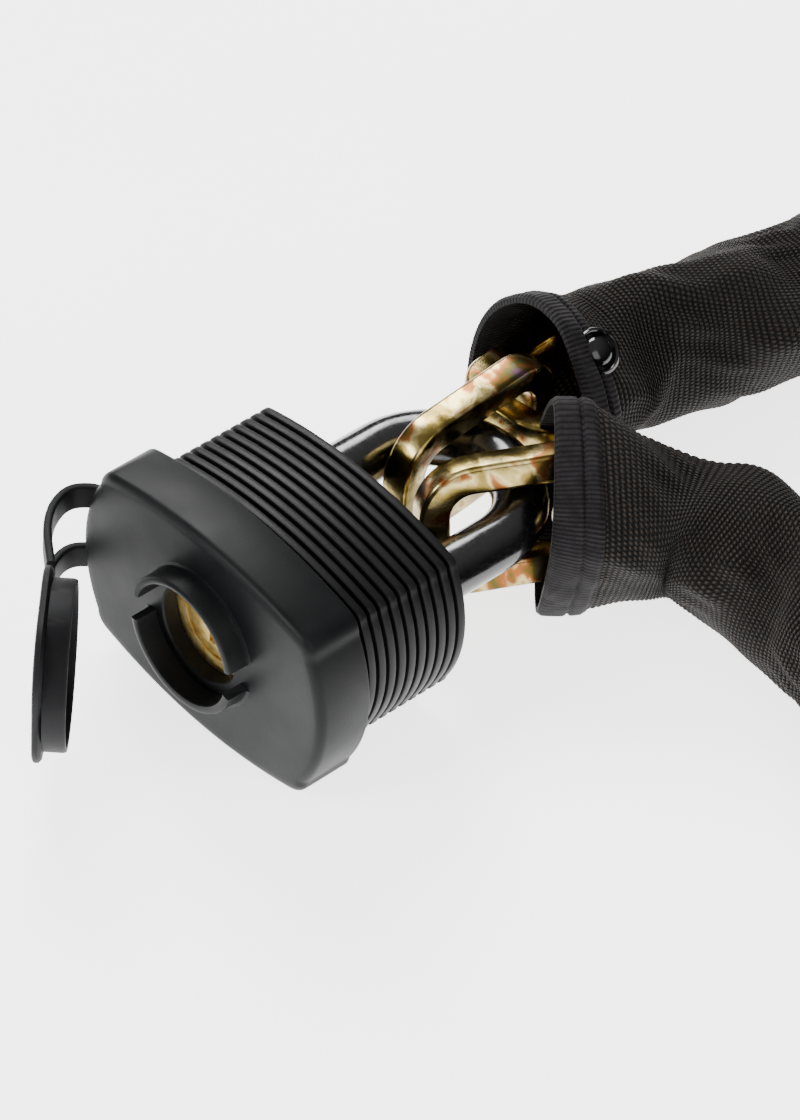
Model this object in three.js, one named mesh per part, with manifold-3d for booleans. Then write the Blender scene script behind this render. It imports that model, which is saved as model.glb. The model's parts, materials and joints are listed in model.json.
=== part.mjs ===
// Weather-proof padlock on a square-link chain in a woven textile sleeve.
//
// Millimetres, +Z up. The lock lies on its broad side on the plane z = 0, X runs from the key face
// to the shackle and Y across the width. The origin is under the middle of the end cap, on the flat
// land the cap rests on.

import * as THREE from 'three';
import { mergeVertices } from 'three/addons/utils/BufferGeometryUtils.js';
import Module from 'manifold-3d';

const wasm = await Module();
wasm.setup();

// ---- clearances -----------------------------------------------------------------------------
const gap = 0.3; // between neighbours that touch or turn in each other
const pinGap = 0.15; // round a tumbler in its chamber
const cutOver = 2; // how far a cutting tool runs past the face it opens

// ---- faceting -------------------------------------------------------------------------------
const bowFacets = 9; // odd, so that one facet is a flat land under the middle
const cornerFacets = 3;
const roundSides = 24;
const rodSides = 12;
const pinSides = 8;

// ---- end cap and collar ---------------------------------------------------------------------
const capWidth = 54;
const capEdgeHeight = 35; // height at the two sides
const capBow = 4.1; // how much each broad face stands out at its middle
const capDepth = 11;
const capBehindOrigin = 5; // the origin is under the middle of the cap's land, not of its depth
const capCornerRadius = 3.9;
const capFrontWall = 3;
const capFrontBevel = 1.6;
const collarOuterRadius = 12.9;
const collarWall = 1.6;
const collarHeight = 4.2;
const collarGapWidth = 6;
const keyHoleRadius = 9.2;

// ---- casing ---------------------------------------------------------------------------------
const casingWidth = 48.7; // over the ribs
const casingEdgeHeight = 28.8;
const casingBow = 3.4;
const casingCornerRadius = 1.8;
const casingLength = 24.2; // the ribbed length behind the cap
const ribCount = 11;
const grooveWidth = 0.65;
const ribDepth = 1;
const casingWall = 2; // under the ribs
const casingRearWall = 2.2;

// ---- lock body and plug ---------------------------------------------------------------------
const plugRadius = 6.7;
const plugLength = 21.4;
const keywayWidth = 2.2;
const keywayHeight = 9;
const keywayTail = 2; // past the middle of the last chamber
const clipThickness = 0.8;
const clipDepth = 1.1; // how deep the clip's groove is in the plug
const clipOuterRadius = 8;
const camRadius = 6;
const camThickness = 1.5;
const camPinRadius = 1.2;
const camPinOffset = 2.6;
const mechanismRadius = 8.5; // the round chamber behind the plug
const mechanismDepth = 10;
const rearDiscThickness = 1.8;
const boltThickness = 3.2;
const boltHeight = 10;
const boltTail = 4; // how far the bolt reaches past the plug's axis
const boltThrow = 2;
const slotPlay = 0.9; // half the play of the cam's pin along the bolt's slot

// ---- pin tumblers ---------------------------------------------------------------------------
const stackCount = 5;
const stackPitch = 3.3;
const firstStack = 3.4; // behind the plug's face
const tumblerRadius = 1.15;
const keyPinLength = 4.8;
const driverLength = 2.4;
const pinSpringLength = 2.5;
const pinSpringRadius = 0.8; // to the middle of the wire
const pinSpringWire = 0.18; // radius
const pinSpringTurns = 3;
const coverStripWidth = 4.2;
const coverStripThickness = 0.9;
const stripOverhang = 2; // past the middles of the end chambers

// ---- shackle --------------------------------------------------------------------------------
const legSpacing = 30;
const coreRadius = 3.8;
const coatOuterRadius = 5;
const coatBoreRadius = 4.1;
const straightLeg = 18; // from the casing's rear face to the start of the bow
const toeDepth = 14; // how far the toe leg goes into the lock
const heelDepth = 25;
const heelHeadLength = 3;
const neckRadius = 2.4;
const neckTop = 4.5; // from the casing's rear face to the start of the neck
const heelPinRadius = 1.2;
const heelPinLength = 12;
const heelPinDepth = 6; // behind the casing's rear face
const heelSpringLength = 3.8;
const heelSpringWire = 0.45; // radius
const heelSpringTurns = 3;
const toeNotchDepth = 2.2;

// ---- key cover ------------------------------------------------------------------------------
const coverSize = 28.8;
const coverCornerRadius = 9.5;
const coverPlate = 1.6;
const coverCupWall = 1;
const coverCupDepth = 4;
const coverRestAngle = THREE.MathUtils.degToRad(-43.9); // turned this far from closed at rest
const coverHinge = new THREE.Vector2(-7.3, 29.2);
const strapThickness = 1.5;
const strapWidth = 5;
const strapSpread = 14; // between the middles of the two straps

// ---- chain ----------------------------------------------------------------------------------
const linkBar = 5.6;
const linkLength = 39; // outside
const linkWidth = 25; // outside
const linkCornerRadius = 9.6; // outside
const linkSlack = 1.1; // how far each link hangs back from taut
const linkTurnRoom = 0.6; // more slack where the front lock link turns on its neighbour
const linkDrop = 1; // how far the two lock links hang below the shackle's middle

// ---- sleeve ---------------------------------------------------------------------------------
const sleeveOuterRadius = 16.9;
const sleeveWall = 0.6;
const sleeveSides = 12;
const sleeveSteps = 46;
const hemHeight = 38; // the mouth's long way, where the sleeve lies flat
const hemBreadth = 32.8;
const hemWall = 1.2;
const hemLength = 7;
const mouthInset = 8.6; // from the joint with a lock link to the end of the sleeve
const hemJoint = 0.7; // between a hem and the end of the sleeve
const studRadius = 4.5;
const studHeight = 1.6;
const studStandOff = 0.9; // over the sleeve's round, which curves away under the stud

// ---- positions worked out from the sizes ------------------------------------------------------
const middleZ = capEdgeHeight / 2 + capBow * (1 - 1 / bowFacets ** 2);
const capBack = capBehindOrigin;
const capFront = capBack - capDepth;
const capInside = capFront + capFrontWall;
const rearFace = capBack + casingLength;
const bodyFront = capInside + gap;
const bodyRear = rearFace - casingRearWall - gap;
const plugFace = bodyFront + gap / 2;
const mechanismFront = bodyRear - mechanismDepth;
const boltFront = bodyRear - rearDiscThickness - boltThickness - 2 * gap;
const legOffset = legSpacing / 2;
const bowCentre = rearFace + straightLeg;
const coverFace = capFront - collarHeight - gap;

/** Turns a buffer geometry into a manifold solid. */
function solid(geometry) {
  const plain = geometry.clone();
  plain.deleteAttribute('normal');
  plain.deleteAttribute('uv');
  const welded = mergeVertices(plain, 1e-4);
  return new wasm.Manifold(
    new wasm.Mesh({
      numProp: 3,
      vertProperties: new Float32Array(welded.attributes.position.array),
      triVerts: new Uint32Array(welded.index.array),
    }),
  );
}

/** Turns a manifold solid back into a flat-shaded buffer geometry. */
function geometryOf(manifold) {
  const mesh = manifold.getMesh();
  const geometry = new THREE.BufferGeometry();
  geometry.setAttribute('position', new THREE.BufferAttribute(new Float32Array(mesh.vertProperties), 3));
  geometry.setIndex(new THREE.BufferAttribute(new Uint32Array(mesh.triVerts), 1));
  const flat = geometry.toNonIndexed();
  flat.computeVertexNormals();
  return flat;
}

/** A rectangular block between two corners. */
function block(low, high) {
  const size = new THREE.Vector3().subVectors(high, low);
  const geometry = new THREE.BoxGeometry(size.x, size.y, size.z);
  return geometry.translate((low.x + high.x) / 2, (low.y + high.y) / 2, (low.z + high.z) / 2);
}

/** A round bar along X from one x to another. */
function rodX(radius, fromX, toX, y, z, sides = roundSides) {
  const geometry = new THREE.CylinderGeometry(radius, radius, toX - fromX, sides);
  geometry.rotateZ(-Math.PI / 2);
  return geometry.translate((fromX + toX) / 2, y, z);
}

/** A round bar along Z from one z to another. */
function rodZ(radius, fromZ, toZ, x, y, sides = pinSides) {
  const geometry = new THREE.CylinderGeometry(radius, radius, toZ - fromZ, sides);
  geometry.rotateX(Math.PI / 2);
  return geometry.translate(x, y, (fromZ + toZ) / 2);
}

/** A ring along X, closed on itself. */
function ringX(outer, inner, fromX, toX) {
  const profile = [
    new THREE.Vector2(inner, fromX),
    new THREE.Vector2(outer, fromX),
    new THREE.Vector2(outer, toX),
    new THREE.Vector2(inner, toX),
    new THREE.Vector2(inner, fromX),
  ];
  const geometry = new THREE.LatheGeometry(profile, roundSides);
  geometry.rotateZ(-Math.PI / 2);
  return geometry.translate(0, 0, middleZ);
}

/** The padlock's cross-section in (y, z): straight sides, rounded corners and bowed broad faces. */
function barrel(width, edgeHeight, bow, cornerRadius, offset = 0) {
  const halfWidth = width / 2 + offset;
  const halfHeight = edgeHeight / 2 + offset;
  const radius = Math.max(cornerRadius + offset, 0.6);
  const bowAt = (y) => halfHeight + bow * (1 - (y / halfWidth) ** 2);
  const slope = Math.atan((2 * bow * (halfWidth - radius)) / halfWidth ** 2);
  const endAngle = Math.PI / 2 - slope;
  const endY = halfWidth - radius + radius * Math.cos(endAngle);
  const centreZ = bowAt(endY) - radius * Math.sin(endAngle);
  const half = [];
  for (let i = 0; i < cornerFacets; i += 1) {
    const angle = (endAngle * i) / cornerFacets;
    half.push([halfWidth - radius + radius * Math.cos(angle), centreZ + radius * Math.sin(angle)]);
  }
  for (let i = 0; i <= bowFacets; i += 1) {
    const y = Math.max(-endY, Math.min(endY, halfWidth * (1 - (2 * i) / bowFacets)));
    half.push([y, bowAt(y)]);
  }
  for (let i = cornerFacets - 1; i >= 0; i -= 1) {
    const [y, z] = half[i];
    half.push([-y, z]);
  }
  const points = half.map(([y, z]) => new THREE.Vector2(y, z));
  const lower = half.map(([y, z]) => new THREE.Vector2(-y, -z));
  return new THREE.Shape([...points, ...lower]);
}

/** Extrudes a (y, z) shape along X, centred on the lock's axis. */
function extrudeX(shape, fromX, toX, bevel = 0) {
  const geometry = new THREE.ExtrudeGeometry(shape, {
    depth: toX - fromX - 2 * bevel,
    bevelEnabled: bevel > 0,
    bevelThickness: bevel,
    bevelSize: bevel,
    bevelOffset: -bevel,
    bevelSegments: 2,
    curveSegments: 1,
  });
  const axes = new THREE.Matrix4().makeBasis(
    new THREE.Vector3(0, 1, 0),
    new THREE.Vector3(0, 0, 1),
    new THREE.Vector3(1, 0, 0),
  );
  geometry.applyMatrix4(axes);
  return geometry.translate(fromX + bevel, 0, middleZ);
}

/** A closed circle as a shape, with an optional round hole. */
function disc(radius, sides, holeRadius = 0) {
  const circle = (r) => {
    const points = [];
    for (let i = 0; i < sides; i += 1) {
      const angle = (2 * Math.PI * i) / sides;
      points.push(new THREE.Vector2(r * Math.cos(angle), r * Math.sin(angle)));
    }
    return points;
  };
  const shape = new THREE.Shape(circle(radius));
  if (holeRadius > 0) {
    shape.holes.push(new THREE.Path(circle(holeRadius).reverse()));
  }
  return shape;
}

/** A helical spring whose axis runs from one point to another. */
function spring(start, end, coilRadius, wire, turns) {
  const axis = new THREE.Vector3().subVectors(end, start);
  const length = axis.length();
  const turn = new THREE.Quaternion().setFromUnitVectors(new THREE.Vector3(0, 0, 1), axis.normalize());
  const stepsPerTurn = 7;
  const points = [];
  for (let i = 0; i <= turns * stepsPerTurn; i += 1) {
    const angle = (2 * Math.PI * i) / stepsPerTurn;
    const along = wire + ((length - 2 * wire) * i) / (turns * stepsPerTurn);
    const point = new THREE.Vector3(coilRadius * Math.cos(angle), coilRadius * Math.sin(angle), along);
    points.push(point.applyQuaternion(turn).add(start));
  }
  return new THREE.ExtrudeGeometry(disc(wire, 4), {
    steps: turns * stepsPerTurn,
    bevelEnabled: false,
    extrudePath: new THREE.CatmullRomCurve3(points),
  });
}

/** The shackle's centre line from an x on the heel leg, round the bow, to an x on the toe leg. */
function shacklePath(heelX, toeX) {
  const path = new THREE.CurvePath();
  const bow = [];
  const bowSteps = 14;
  for (let i = 0; i <= bowSteps; i += 1) {
    const angle = Math.PI / 2 - (Math.PI * i) / bowSteps;
    const x = bowCentre + legOffset * Math.cos(angle);
    bow.push(new THREE.Vector3(x, legOffset * Math.sin(angle), middleZ));
  }
  path.add(new THREE.LineCurve3(new THREE.Vector3(heelX, legOffset, middleZ), bow[0]));
  for (let i = 0; i < bowSteps; i += 1) {
    path.add(new THREE.LineCurve3(bow[i], bow[i + 1]));
  }
  path.add(new THREE.LineCurve3(bow[bowSteps], new THREE.Vector3(toeX, -legOffset, middleZ)));
  return path;
}

const blackPlastic = new THREE.MeshStandardMaterial({ color: 0x1c1c1e, roughness: 0.5, metalness: 0 });
const rubber = new THREE.MeshStandardMaterial({ color: 0x202124, roughness: 0.7, metalness: 0 });
const brass = new THREE.MeshStandardMaterial({ color: 0xb8923f, roughness: 0.35, metalness: 1 });
const steel = new THREE.MeshStandardMaterial({ color: 0xa9abad, roughness: 0.3, metalness: 1 });
const coating = new THREE.MeshStandardMaterial({ color: 0x101114, roughness: 0.2, metalness: 0 });
const goldZinc = new THREE.MeshStandardMaterial({ color: 0xa88a4a, roughness: 0.3, metalness: 1 });
const textile = new THREE.MeshStandardMaterial({ color: 0x2a2725, roughness: 0.9, metalness: 0 });
const studMetal = new THREE.MeshStandardMaterial({ color: 0x17181a, roughness: 0.15, metalness: 1 });

const group = new THREE.Group();
group.name = 'sleeved_chain_padlock';

/** Adds one named closed body to the group. */
function part(name, geometry, material) {
  const mesh = new THREE.Mesh(geometry, material);
  mesh.name = name;
  group.add(mesh);
}

// ---- end cap --------------------------------------------------------------------------------
const capOutline = barrel(capWidth, capEdgeHeight, capBow, capCornerRadius);
const grooveFloor = barrel(casingWidth, casingEdgeHeight, casingBow, casingCornerRadius, -ribDepth);
const capCavity = barrel(casingWidth, casingEdgeHeight, casingBow, casingCornerRadius, gap - ribDepth);

const capBlank = solid(extrudeX(capOutline, capFront, capBack + capFrontBevel, capFrontBevel));
const behindCap = solid(
  block(
    new THREE.Vector3(capBack, -capWidth, middleZ - capWidth),
    new THREE.Vector3(capBack + capDepth, capWidth, middleZ + capWidth),
  ),
);
const collarInnerRadius = collarOuterRadius - collarWall;
const collarFront = capFront - collarHeight;
const collarRoot = capFront + capFrontWall / 2;
const collarRing = solid(ringX(collarOuterRadius, collarInnerRadius, collarFront, collarRoot));
const collarGap = solid(
  block(
    new THREE.Vector3(collarFront - cutOver, -capWidth / 2, middleZ - collarGapWidth / 2),
    new THREE.Vector3(capFront, capWidth / 2, middleZ + collarGapWidth / 2),
  ),
);
const endCap = capBlank
  .subtract(behindCap)
  .subtract(solid(extrudeX(capCavity, capInside, capBack + cutOver)))
  .add(collarRing.subtract(collarGap))
  .subtract(solid(rodX(keyHoleRadius, capFront - cutOver, capInside + cutOver, 0, middleZ)));
part('end_cap', geometryOf(endCap), blackPlastic);

// ---- casing ---------------------------------------------------------------------------------
const ribPitch = (casingLength - gap + grooveWidth) / ribCount;
const ribOutline = barrel(casingWidth, casingEdgeHeight, casingBow, casingCornerRadius);
const bodyHole = barrel(casingWidth, casingEdgeHeight, casingBow, casingCornerRadius, -ribDepth - casingWall);
let casing = solid(extrudeX(grooveFloor, bodyFront, rearFace));
for (let i = 0; i < ribCount; i += 1) {
  const ribFront = capBack + gap + i * ribPitch;
  casing = casing.add(solid(extrudeX(ribOutline, ribFront, ribFront + ribPitch - grooveWidth)));
}
casing = casing.subtract(solid(extrudeX(bodyHole, bodyFront - cutOver, rearFace - casingRearWall)));
for (const side of [-1, 1]) {
  const hole = rodX(coatBoreRadius, bodyFront, rearFace + cutOver, side * legOffset, middleZ);
  casing = casing.subtract(solid(hole));
}
part('casing', geometryOf(casing), blackPlastic);

// ---- brass lock body --------------------------------------------------------------------------
const bodyOffset = -ribDepth - casingWall - gap;
const bodyTop = middleZ + casingEdgeHeight / 2 + casingBow + bodyOffset;
const stripFloor = bodyTop - coverStripThickness - 2 * gap;
const plugBore = plugRadius + gap;
const toeEnd = rearFace - toeDepth;
const heelEnd = rearFace - heelDepth;
const heelPinX = rearFace - heelPinDepth;
const heelPinY = legOffset - neckRadius - heelPinRadius - gap;
const boltRear = boltFront + boltThickness;
const chamberRadius = tumblerRadius + pinGap;
const stackX = (index) => plugFace + firstStack + index * stackPitch;

const bodyOutline = barrel(casingWidth, casingEdgeHeight, casingBow, casingCornerRadius, bodyOffset);
let lockBody = solid(extrudeX(bodyOutline, bodyFront, bodyRear));
const bodyCuts = [
  rodX(plugBore, bodyFront - cutOver, bodyRear, 0, middleZ),
  rodX(mechanismRadius, mechanismFront, bodyRear + cutOver, 0, middleZ),
  rodX(coatBoreRadius, toeEnd - 2 * gap, bodyRear + cutOver, -legOffset, middleZ),
  rodX(coatBoreRadius, heelEnd - heelSpringLength - 3 * gap, bodyRear + cutOver, legOffset, middleZ),
  rodZ(
    heelPinRadius + pinGap,
    middleZ - heelPinLength / 2 - gap,
    middleZ + heelPinLength / 2 + gap,
    heelPinX,
    heelPinY,
  ),
  block(
    new THREE.Vector3(boltFront - gap, -legOffset + gap, middleZ - boltHeight / 2 - gap),
    new THREE.Vector3(boltRear + gap, 0, middleZ + boltHeight / 2 + gap),
  ),
  block(
    new THREE.Vector3(stackX(0) - stripOverhang, -coverStripWidth / 2 - gap, stripFloor),
    new THREE.Vector3(stackX(stackCount - 1) + stripOverhang, coverStripWidth / 2 + gap, bodyTop + cutOver),
  ),
];
for (let i = 0; i < stackCount; i += 1) {
  bodyCuts.push(rodZ(chamberRadius, middleZ, stripFloor + gap, stackX(i), 0));
}
for (const cut of bodyCuts) {
  lockBody = lockBody.subtract(solid(cut));
}
part('lock_body', geometryOf(lockBody), brass);

const coverStrip = block(
  new THREE.Vector3(stackX(0) - stripOverhang + gap, -coverStripWidth / 2, stripFloor + gap),
  new THREE.Vector3(
    stackX(stackCount - 1) + stripOverhang - gap,
    coverStripWidth / 2,
    stripFloor + gap + coverStripThickness,
  ),
);
part('chamber_cover', coverStrip, brass);

const discRear = bodyRear - gap / 2;
const rearDisc = rodX(mechanismRadius - gap / 2, discRear - rearDiscThickness, discRear, 0, middleZ);
part('rear_disc', rearDisc, brass);

// ---- plug, clip and cam -----------------------------------------------------------------------
const plugRear = plugFace + plugLength;
const clipFront = mechanismFront + gap;
const clipInnerRadius = plugRadius - clipDepth + gap;
const keyway = block(
  new THREE.Vector3(plugFace - cutOver, -keywayWidth / 2, middleZ - keywayHeight / 2),
  new THREE.Vector3(stackX(stackCount - 1) + keywayTail, keywayWidth / 2, middleZ + keywayHeight / 2),
);
const clipGroove = ringX(
  plugRadius + cutOver,
  plugRadius - clipDepth,
  clipFront - gap / 2,
  clipFront + clipThickness + gap / 2,
);
let plug = solid(rodX(plugRadius, plugFace, plugRear, 0, middleZ))
  .subtract(solid(keyway))
  .subtract(solid(clipGroove));
for (let i = 0; i < stackCount; i += 1) {
  plug = plug.subtract(solid(rodZ(chamberRadius, middleZ, middleZ + plugRadius + cutOver, stackX(i), 0)));
}
part('key_plug', geometryOf(plug), brass);
part('plug_clip', ringX(clipOuterRadius, clipInnerRadius, clipFront, clipFront + clipThickness), steel);

const camFront = plugRear + gap;
const cam = solid(rodX(camRadius, camFront, camFront + camThickness, 0, middleZ)).add(
  solid(rodX(camPinRadius, camFront, boltRear - gap, 0, middleZ + camPinOffset, rodSides)),
);
part('lock_cam', geometryOf(cam), steel);

// ---- bolt -------------------------------------------------------------------------------------
const boltTip = -legOffset + coreRadius + gap;
const slotHalfWidth = camPinRadius + gap + slotPlay;
const bolt = solid(
  block(
    new THREE.Vector3(boltFront, boltTip, middleZ - boltHeight / 2),
    new THREE.Vector3(boltRear, boltTail, middleZ + boltHeight / 2),
  ),
).subtract(
  solid(
    block(
      new THREE.Vector3(boltFront - cutOver, -slotHalfWidth, middleZ - camPinRadius - gap),
      new THREE.Vector3(boltRear + cutOver, slotHalfWidth, middleZ + camPinOffset + camPinRadius + gap),
    ),
  ),
);
part('lock_bolt', geometryOf(bolt), steel);

// ---- pin tumblers -----------------------------------------------------------------------------
for (let i = 0; i < stackCount; i += 1) {
  const x = stackX(i);
  const shearLine = middleZ + plugRadius;
  const driverFoot = shearLine + gap;
  const springFoot = driverFoot + driverLength + pinGap;
  const foot = new THREE.Vector3(x, 0, springFoot);
  const top = new THREE.Vector3(x, 0, springFoot + pinSpringLength);
  part(`key_pin_${i + 1}`, rodZ(tumblerRadius, shearLine - keyPinLength, shearLine - pinGap, x, 0), brass);
  part(`driver_pin_${i + 1}`, rodZ(tumblerRadius, driverFoot, driverFoot + driverLength, x, 0), steel);
  part(
    `pin_spring_${i + 1}`,
    spring(foot, top, pinSpringRadius, pinSpringWire, pinSpringTurns),
    steel,
  );
}

// ---- shackle ----------------------------------------------------------------------------------
const corePath = shacklePath(heelEnd, toeEnd);
const coreBlank = solid(
  new THREE.ExtrudeGeometry(disc(coreRadius, rodSides), {
    steps: 44,
    bevelEnabled: false,
    extrudePath: corePath,
  }),
);
const neckProfile = [
  new THREE.Vector2(neckRadius, heelEnd + heelHeadLength),
  new THREE.Vector2(coreRadius + 1, heelEnd + heelHeadLength),
  new THREE.Vector2(coreRadius + 1, rearFace - neckTop),
  new THREE.Vector2(neckRadius, rearFace - neckTop),
  new THREE.Vector2(neckRadius, heelEnd + heelHeadLength),
];
const neckRing = new THREE.LatheGeometry(neckProfile, rodSides);
neckRing.rotateZ(-Math.PI / 2);
neckRing.translate(0, legOffset, middleZ);
const toeNotch = block(
  new THREE.Vector3(boltFront - gap, -legOffset + coreRadius - toeNotchDepth, middleZ - boltHeight),
  new THREE.Vector3(boltRear + gap, 0, middleZ + boltHeight),
);
const core = coreBlank.subtract(solid(neckRing)).subtract(solid(toeNotch));
part('shackle', geometryOf(core), steel);

const coatStart = rearFace + gap;
part(
  'shackle_coating',
  new THREE.ExtrudeGeometry(disc(coatOuterRadius, rodSides, coatBoreRadius), {
    steps: 32,
    bevelEnabled: false,
    extrudePath: shacklePath(coatStart, coatStart),
  }),
  coating,
);

const heelPinLow = middleZ - heelPinLength / 2;
part('heel_pin', rodZ(heelPinRadius, heelPinLow, heelPinLow + heelPinLength, heelPinX, heelPinY), steel);
part(
  'shackle_spring',
  spring(
    new THREE.Vector3(heelEnd - gap - heelSpringLength, legOffset, middleZ),
    new THREE.Vector3(heelEnd - gap, legOffset, middleZ),
    coreRadius - 2 * heelSpringWire,
    heelSpringWire,
    heelSpringTurns,
  ),
  steel,
);

// ---- key cover --------------------------------------------------------------------------------
/** A square with rounded corners as a shape in (y, z). */
function roundedSquare(size, radius) {
  const half = size / 2 - radius;
  const shape = new THREE.Shape();
  shape.absarc(half, half, radius, 0, Math.PI / 2, false);
  shape.absarc(-half, half, radius, Math.PI / 2, Math.PI, false);
  shape.absarc(-half, -half, radius, Math.PI, 1.5 * Math.PI, false);
  shape.absarc(half, -half, radius, 1.5 * Math.PI, 2 * Math.PI, false);
  return shape;
}

/** Turns a geometry from the closed place of the key cover to where it hangs at rest. */
function swingCover(geometry) {
  geometry.translate(-coverHinge.x, -coverHinge.y, 0);
  geometry.rotateZ(coverRestAngle);
  return geometry.translate(coverHinge.x, coverHinge.y, 0);
}

const coverPlateGeometry = new THREE.ExtrudeGeometry(roundedSquare(coverSize, coverCornerRadius), {
  depth: coverPlate,
  bevelEnabled: false,
  curveSegments: 3,
});
coverPlateGeometry.applyMatrix4(
  new THREE.Matrix4().makeBasis(
    new THREE.Vector3(0, 1, 0),
    new THREE.Vector3(0, 0, 1),
    new THREE.Vector3(1, 0, 0),
  ),
);
coverPlateGeometry.translate(coverFace - coverPlate, 0, middleZ);
const cupInnerRadius = collarOuterRadius + 2 * gap;
const cupOuterRadius = cupInnerRadius + coverCupWall;
const cup = ringX(cupOuterRadius, cupInnerRadius, coverFace - coverPlate / 2, coverFace + coverCupDepth);
const keyCover = geometryOf(solid(coverPlateGeometry).add(solid(cup)));
part('key_cover', swingCover(keyCover), rubber);

// The far edge of the cover at rest, where the straps reach it.
const coverEdge = new THREE.Vector2(coverFace - coverPlate / 2, coverSize / 2)
  .sub(coverHinge)
  .rotateAround(new THREE.Vector2(0, 0), coverRestAngle)
  .add(coverHinge);
const alongCover = new THREE.Vector2(-Math.sin(coverRestAngle), Math.cos(coverRestAngle));
const strapEnd = coverEdge.clone().addScaledVector(alongCover, gap);
const strapRoot = new THREE.Vector2(capFront + capDepth * 0.4, capWidth / 2 + gap);
const strapCurve = new THREE.CatmullRomCurve3([
  new THREE.Vector3(strapRoot.x, strapRoot.y, 0),
  new THREE.Vector3(strapRoot.x - 1.5, strapRoot.y + 3.8, 0),
  new THREE.Vector3(strapRoot.x - 5, strapRoot.y + 6, 0),
  new THREE.Vector3(strapRoot.x - 9.4, strapRoot.y + 4.8, 0),
  new THREE.Vector3(strapRoot.x - 13.6, strapRoot.y + 1.3, 0),
  new THREE.Vector3(strapEnd.x, strapEnd.y, 0),
]);

/** One flat strap: the plan curve thickened and extruded by its width. */
function strap(middle) {
  const count = 14;
  const outer = [];
  const inner = [];
  for (let i = 0; i <= count; i += 1) {
    const at = strapCurve.getPointAt(i / count);
    const along = strapCurve.getTangentAt(i / count);
    const side = new THREE.Vector2(-along.y, along.x).multiplyScalar(strapThickness / 2);
    outer.push(new THREE.Vector2(at.x + side.x, at.y + side.y));
    inner.unshift(new THREE.Vector2(at.x - side.x, at.y - side.y));
  }
  outer[0].y = strapRoot.y;
  inner[count].y = strapRoot.y;
  const shape = new THREE.Shape([...outer, ...inner]);
  const geometry = new THREE.ExtrudeGeometry(shape, { depth: strapWidth, bevelEnabled: false });
  return geometry.translate(0, 0, middle - strapWidth / 2);
}

part('cover_strap_upper', strap(middleZ + strapSpread / 2), rubber);
part('cover_strap_lower', strap(middleZ - strapSpread / 2), rubber);

// ---- chain ------------------------------------------------------------------------------------
const linkPitch = linkLength - 2 * linkBar - linkSlack;

/** One link, lying in the plane of two directions, round its own middle. */
function link(centre, along, across) {
  const outer = new THREE.Shape();
  const inner = new THREE.Path();
  const trace = (path, length, width, radius) => {
    const x = length / 2 - radius;
    const y = width / 2 - radius;
    path.absarc(x, y, radius, 0, Math.PI / 2, false);
    path.absarc(-x, y, radius, Math.PI / 2, Math.PI, false);
    path.absarc(-x, -y, radius, Math.PI, 1.5 * Math.PI, false);
    path.absarc(x, -y, radius, 1.5 * Math.PI, 2 * Math.PI, false);
  };
  trace(outer, linkLength, linkWidth, linkCornerRadius);
  trace(inner, linkLength - 2 * linkBar, linkWidth - 2 * linkBar, linkCornerRadius - linkBar);
  outer.holes.push(inner);
  const geometry = new THREE.ExtrudeGeometry(outer, {
    depth: linkBar,
    bevelEnabled: false,
    curveSegments: 2,
  });
  geometry.translate(0, 0, -linkBar / 2);
  const u = along.clone().normalize();
  const n = new THREE.Vector3().crossVectors(u, across).normalize();
  const w = new THREE.Vector3().crossVectors(n, u);
  geometry.applyMatrix4(new THREE.Matrix4().makeBasis(u, w, n));
  return geometry.translate(centre.x, centre.y, centre.z);
}

const up = new THREE.Vector3(0, 0, 1);
const rearLinkCentre = new THREE.Vector3(bowCentre + 14.5, 6.8, middleZ - linkDrop);
const rearLinkAlong = new THREE.Vector3(1, 0.08, 0).normalize();
const frontLinkCentre = new THREE.Vector3(bowCentre + 9.9, -12.4, middleZ - linkDrop);
const frontLinkAlong = new THREE.Vector3(0.9, -0.436, 0).normalize();
const frontLinkLean = THREE.MathUtils.degToRad(15); // of the link's plane from upright
const frontLinkAcross = up.clone().applyAxisAngle(frontLinkAlong, -frontLinkLean);
const routeStart = rearLinkCentre.clone().addScaledVector(rearLinkAlong, linkPitch / 2);
const routeEnd = frontLinkCentre.clone().addScaledVector(frontLinkAlong, linkPitch / 2 - linkTurnRoom);

// The route on the floor: out from the lock, once round in a wide loop, and back.
const layZ = sleeveOuterRadius + 0.1;
const chainRoute = new THREE.CatmullRomCurve3([
  routeStart,
  new THREE.Vector3(88, 12.2, 18.8),
  new THREE.Vector3(100, 12, 17.4),
  new THREE.Vector3(113, 8.6, layZ),
  new THREE.Vector3(128, 4.4, layZ),
  new THREE.Vector3(144, 2.2, layZ),
  new THREE.Vector3(160, -1, layZ),
  new THREE.Vector3(192, -7.4, layZ),
  new THREE.Vector3(219.4, -25.6, layZ),
  new THREE.Vector3(237.6, -53, layZ),
  new THREE.Vector3(244, -85, layZ),
  new THREE.Vector3(237.6, -117, layZ),
  new THREE.Vector3(219.4, -144.4, layZ),
  new THREE.Vector3(192, -162.6, layZ),
  new THREE.Vector3(160, -169, layZ),
  new THREE.Vector3(128, -162.6, layZ),
  new THREE.Vector3(100.6, -144.4, layZ),
  new THREE.Vector3(84, -117, layZ),
  new THREE.Vector3(80, -90, layZ),
  new THREE.Vector3(83.9, -66, layZ),
  new THREE.Vector3(84.8, -46.4, layZ),
  new THREE.Vector3(81.2, -29, 18.8),
  routeEnd,
]);
chainRoute.arcLengthDivisions = 600;

part('rear_lock_link', link(rearLinkCentre, rearLinkAlong, up), goldZinc);
part('front_lock_link', link(frontLinkCentre, frontLinkAlong, frontLinkAcross), goldZinc);

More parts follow.
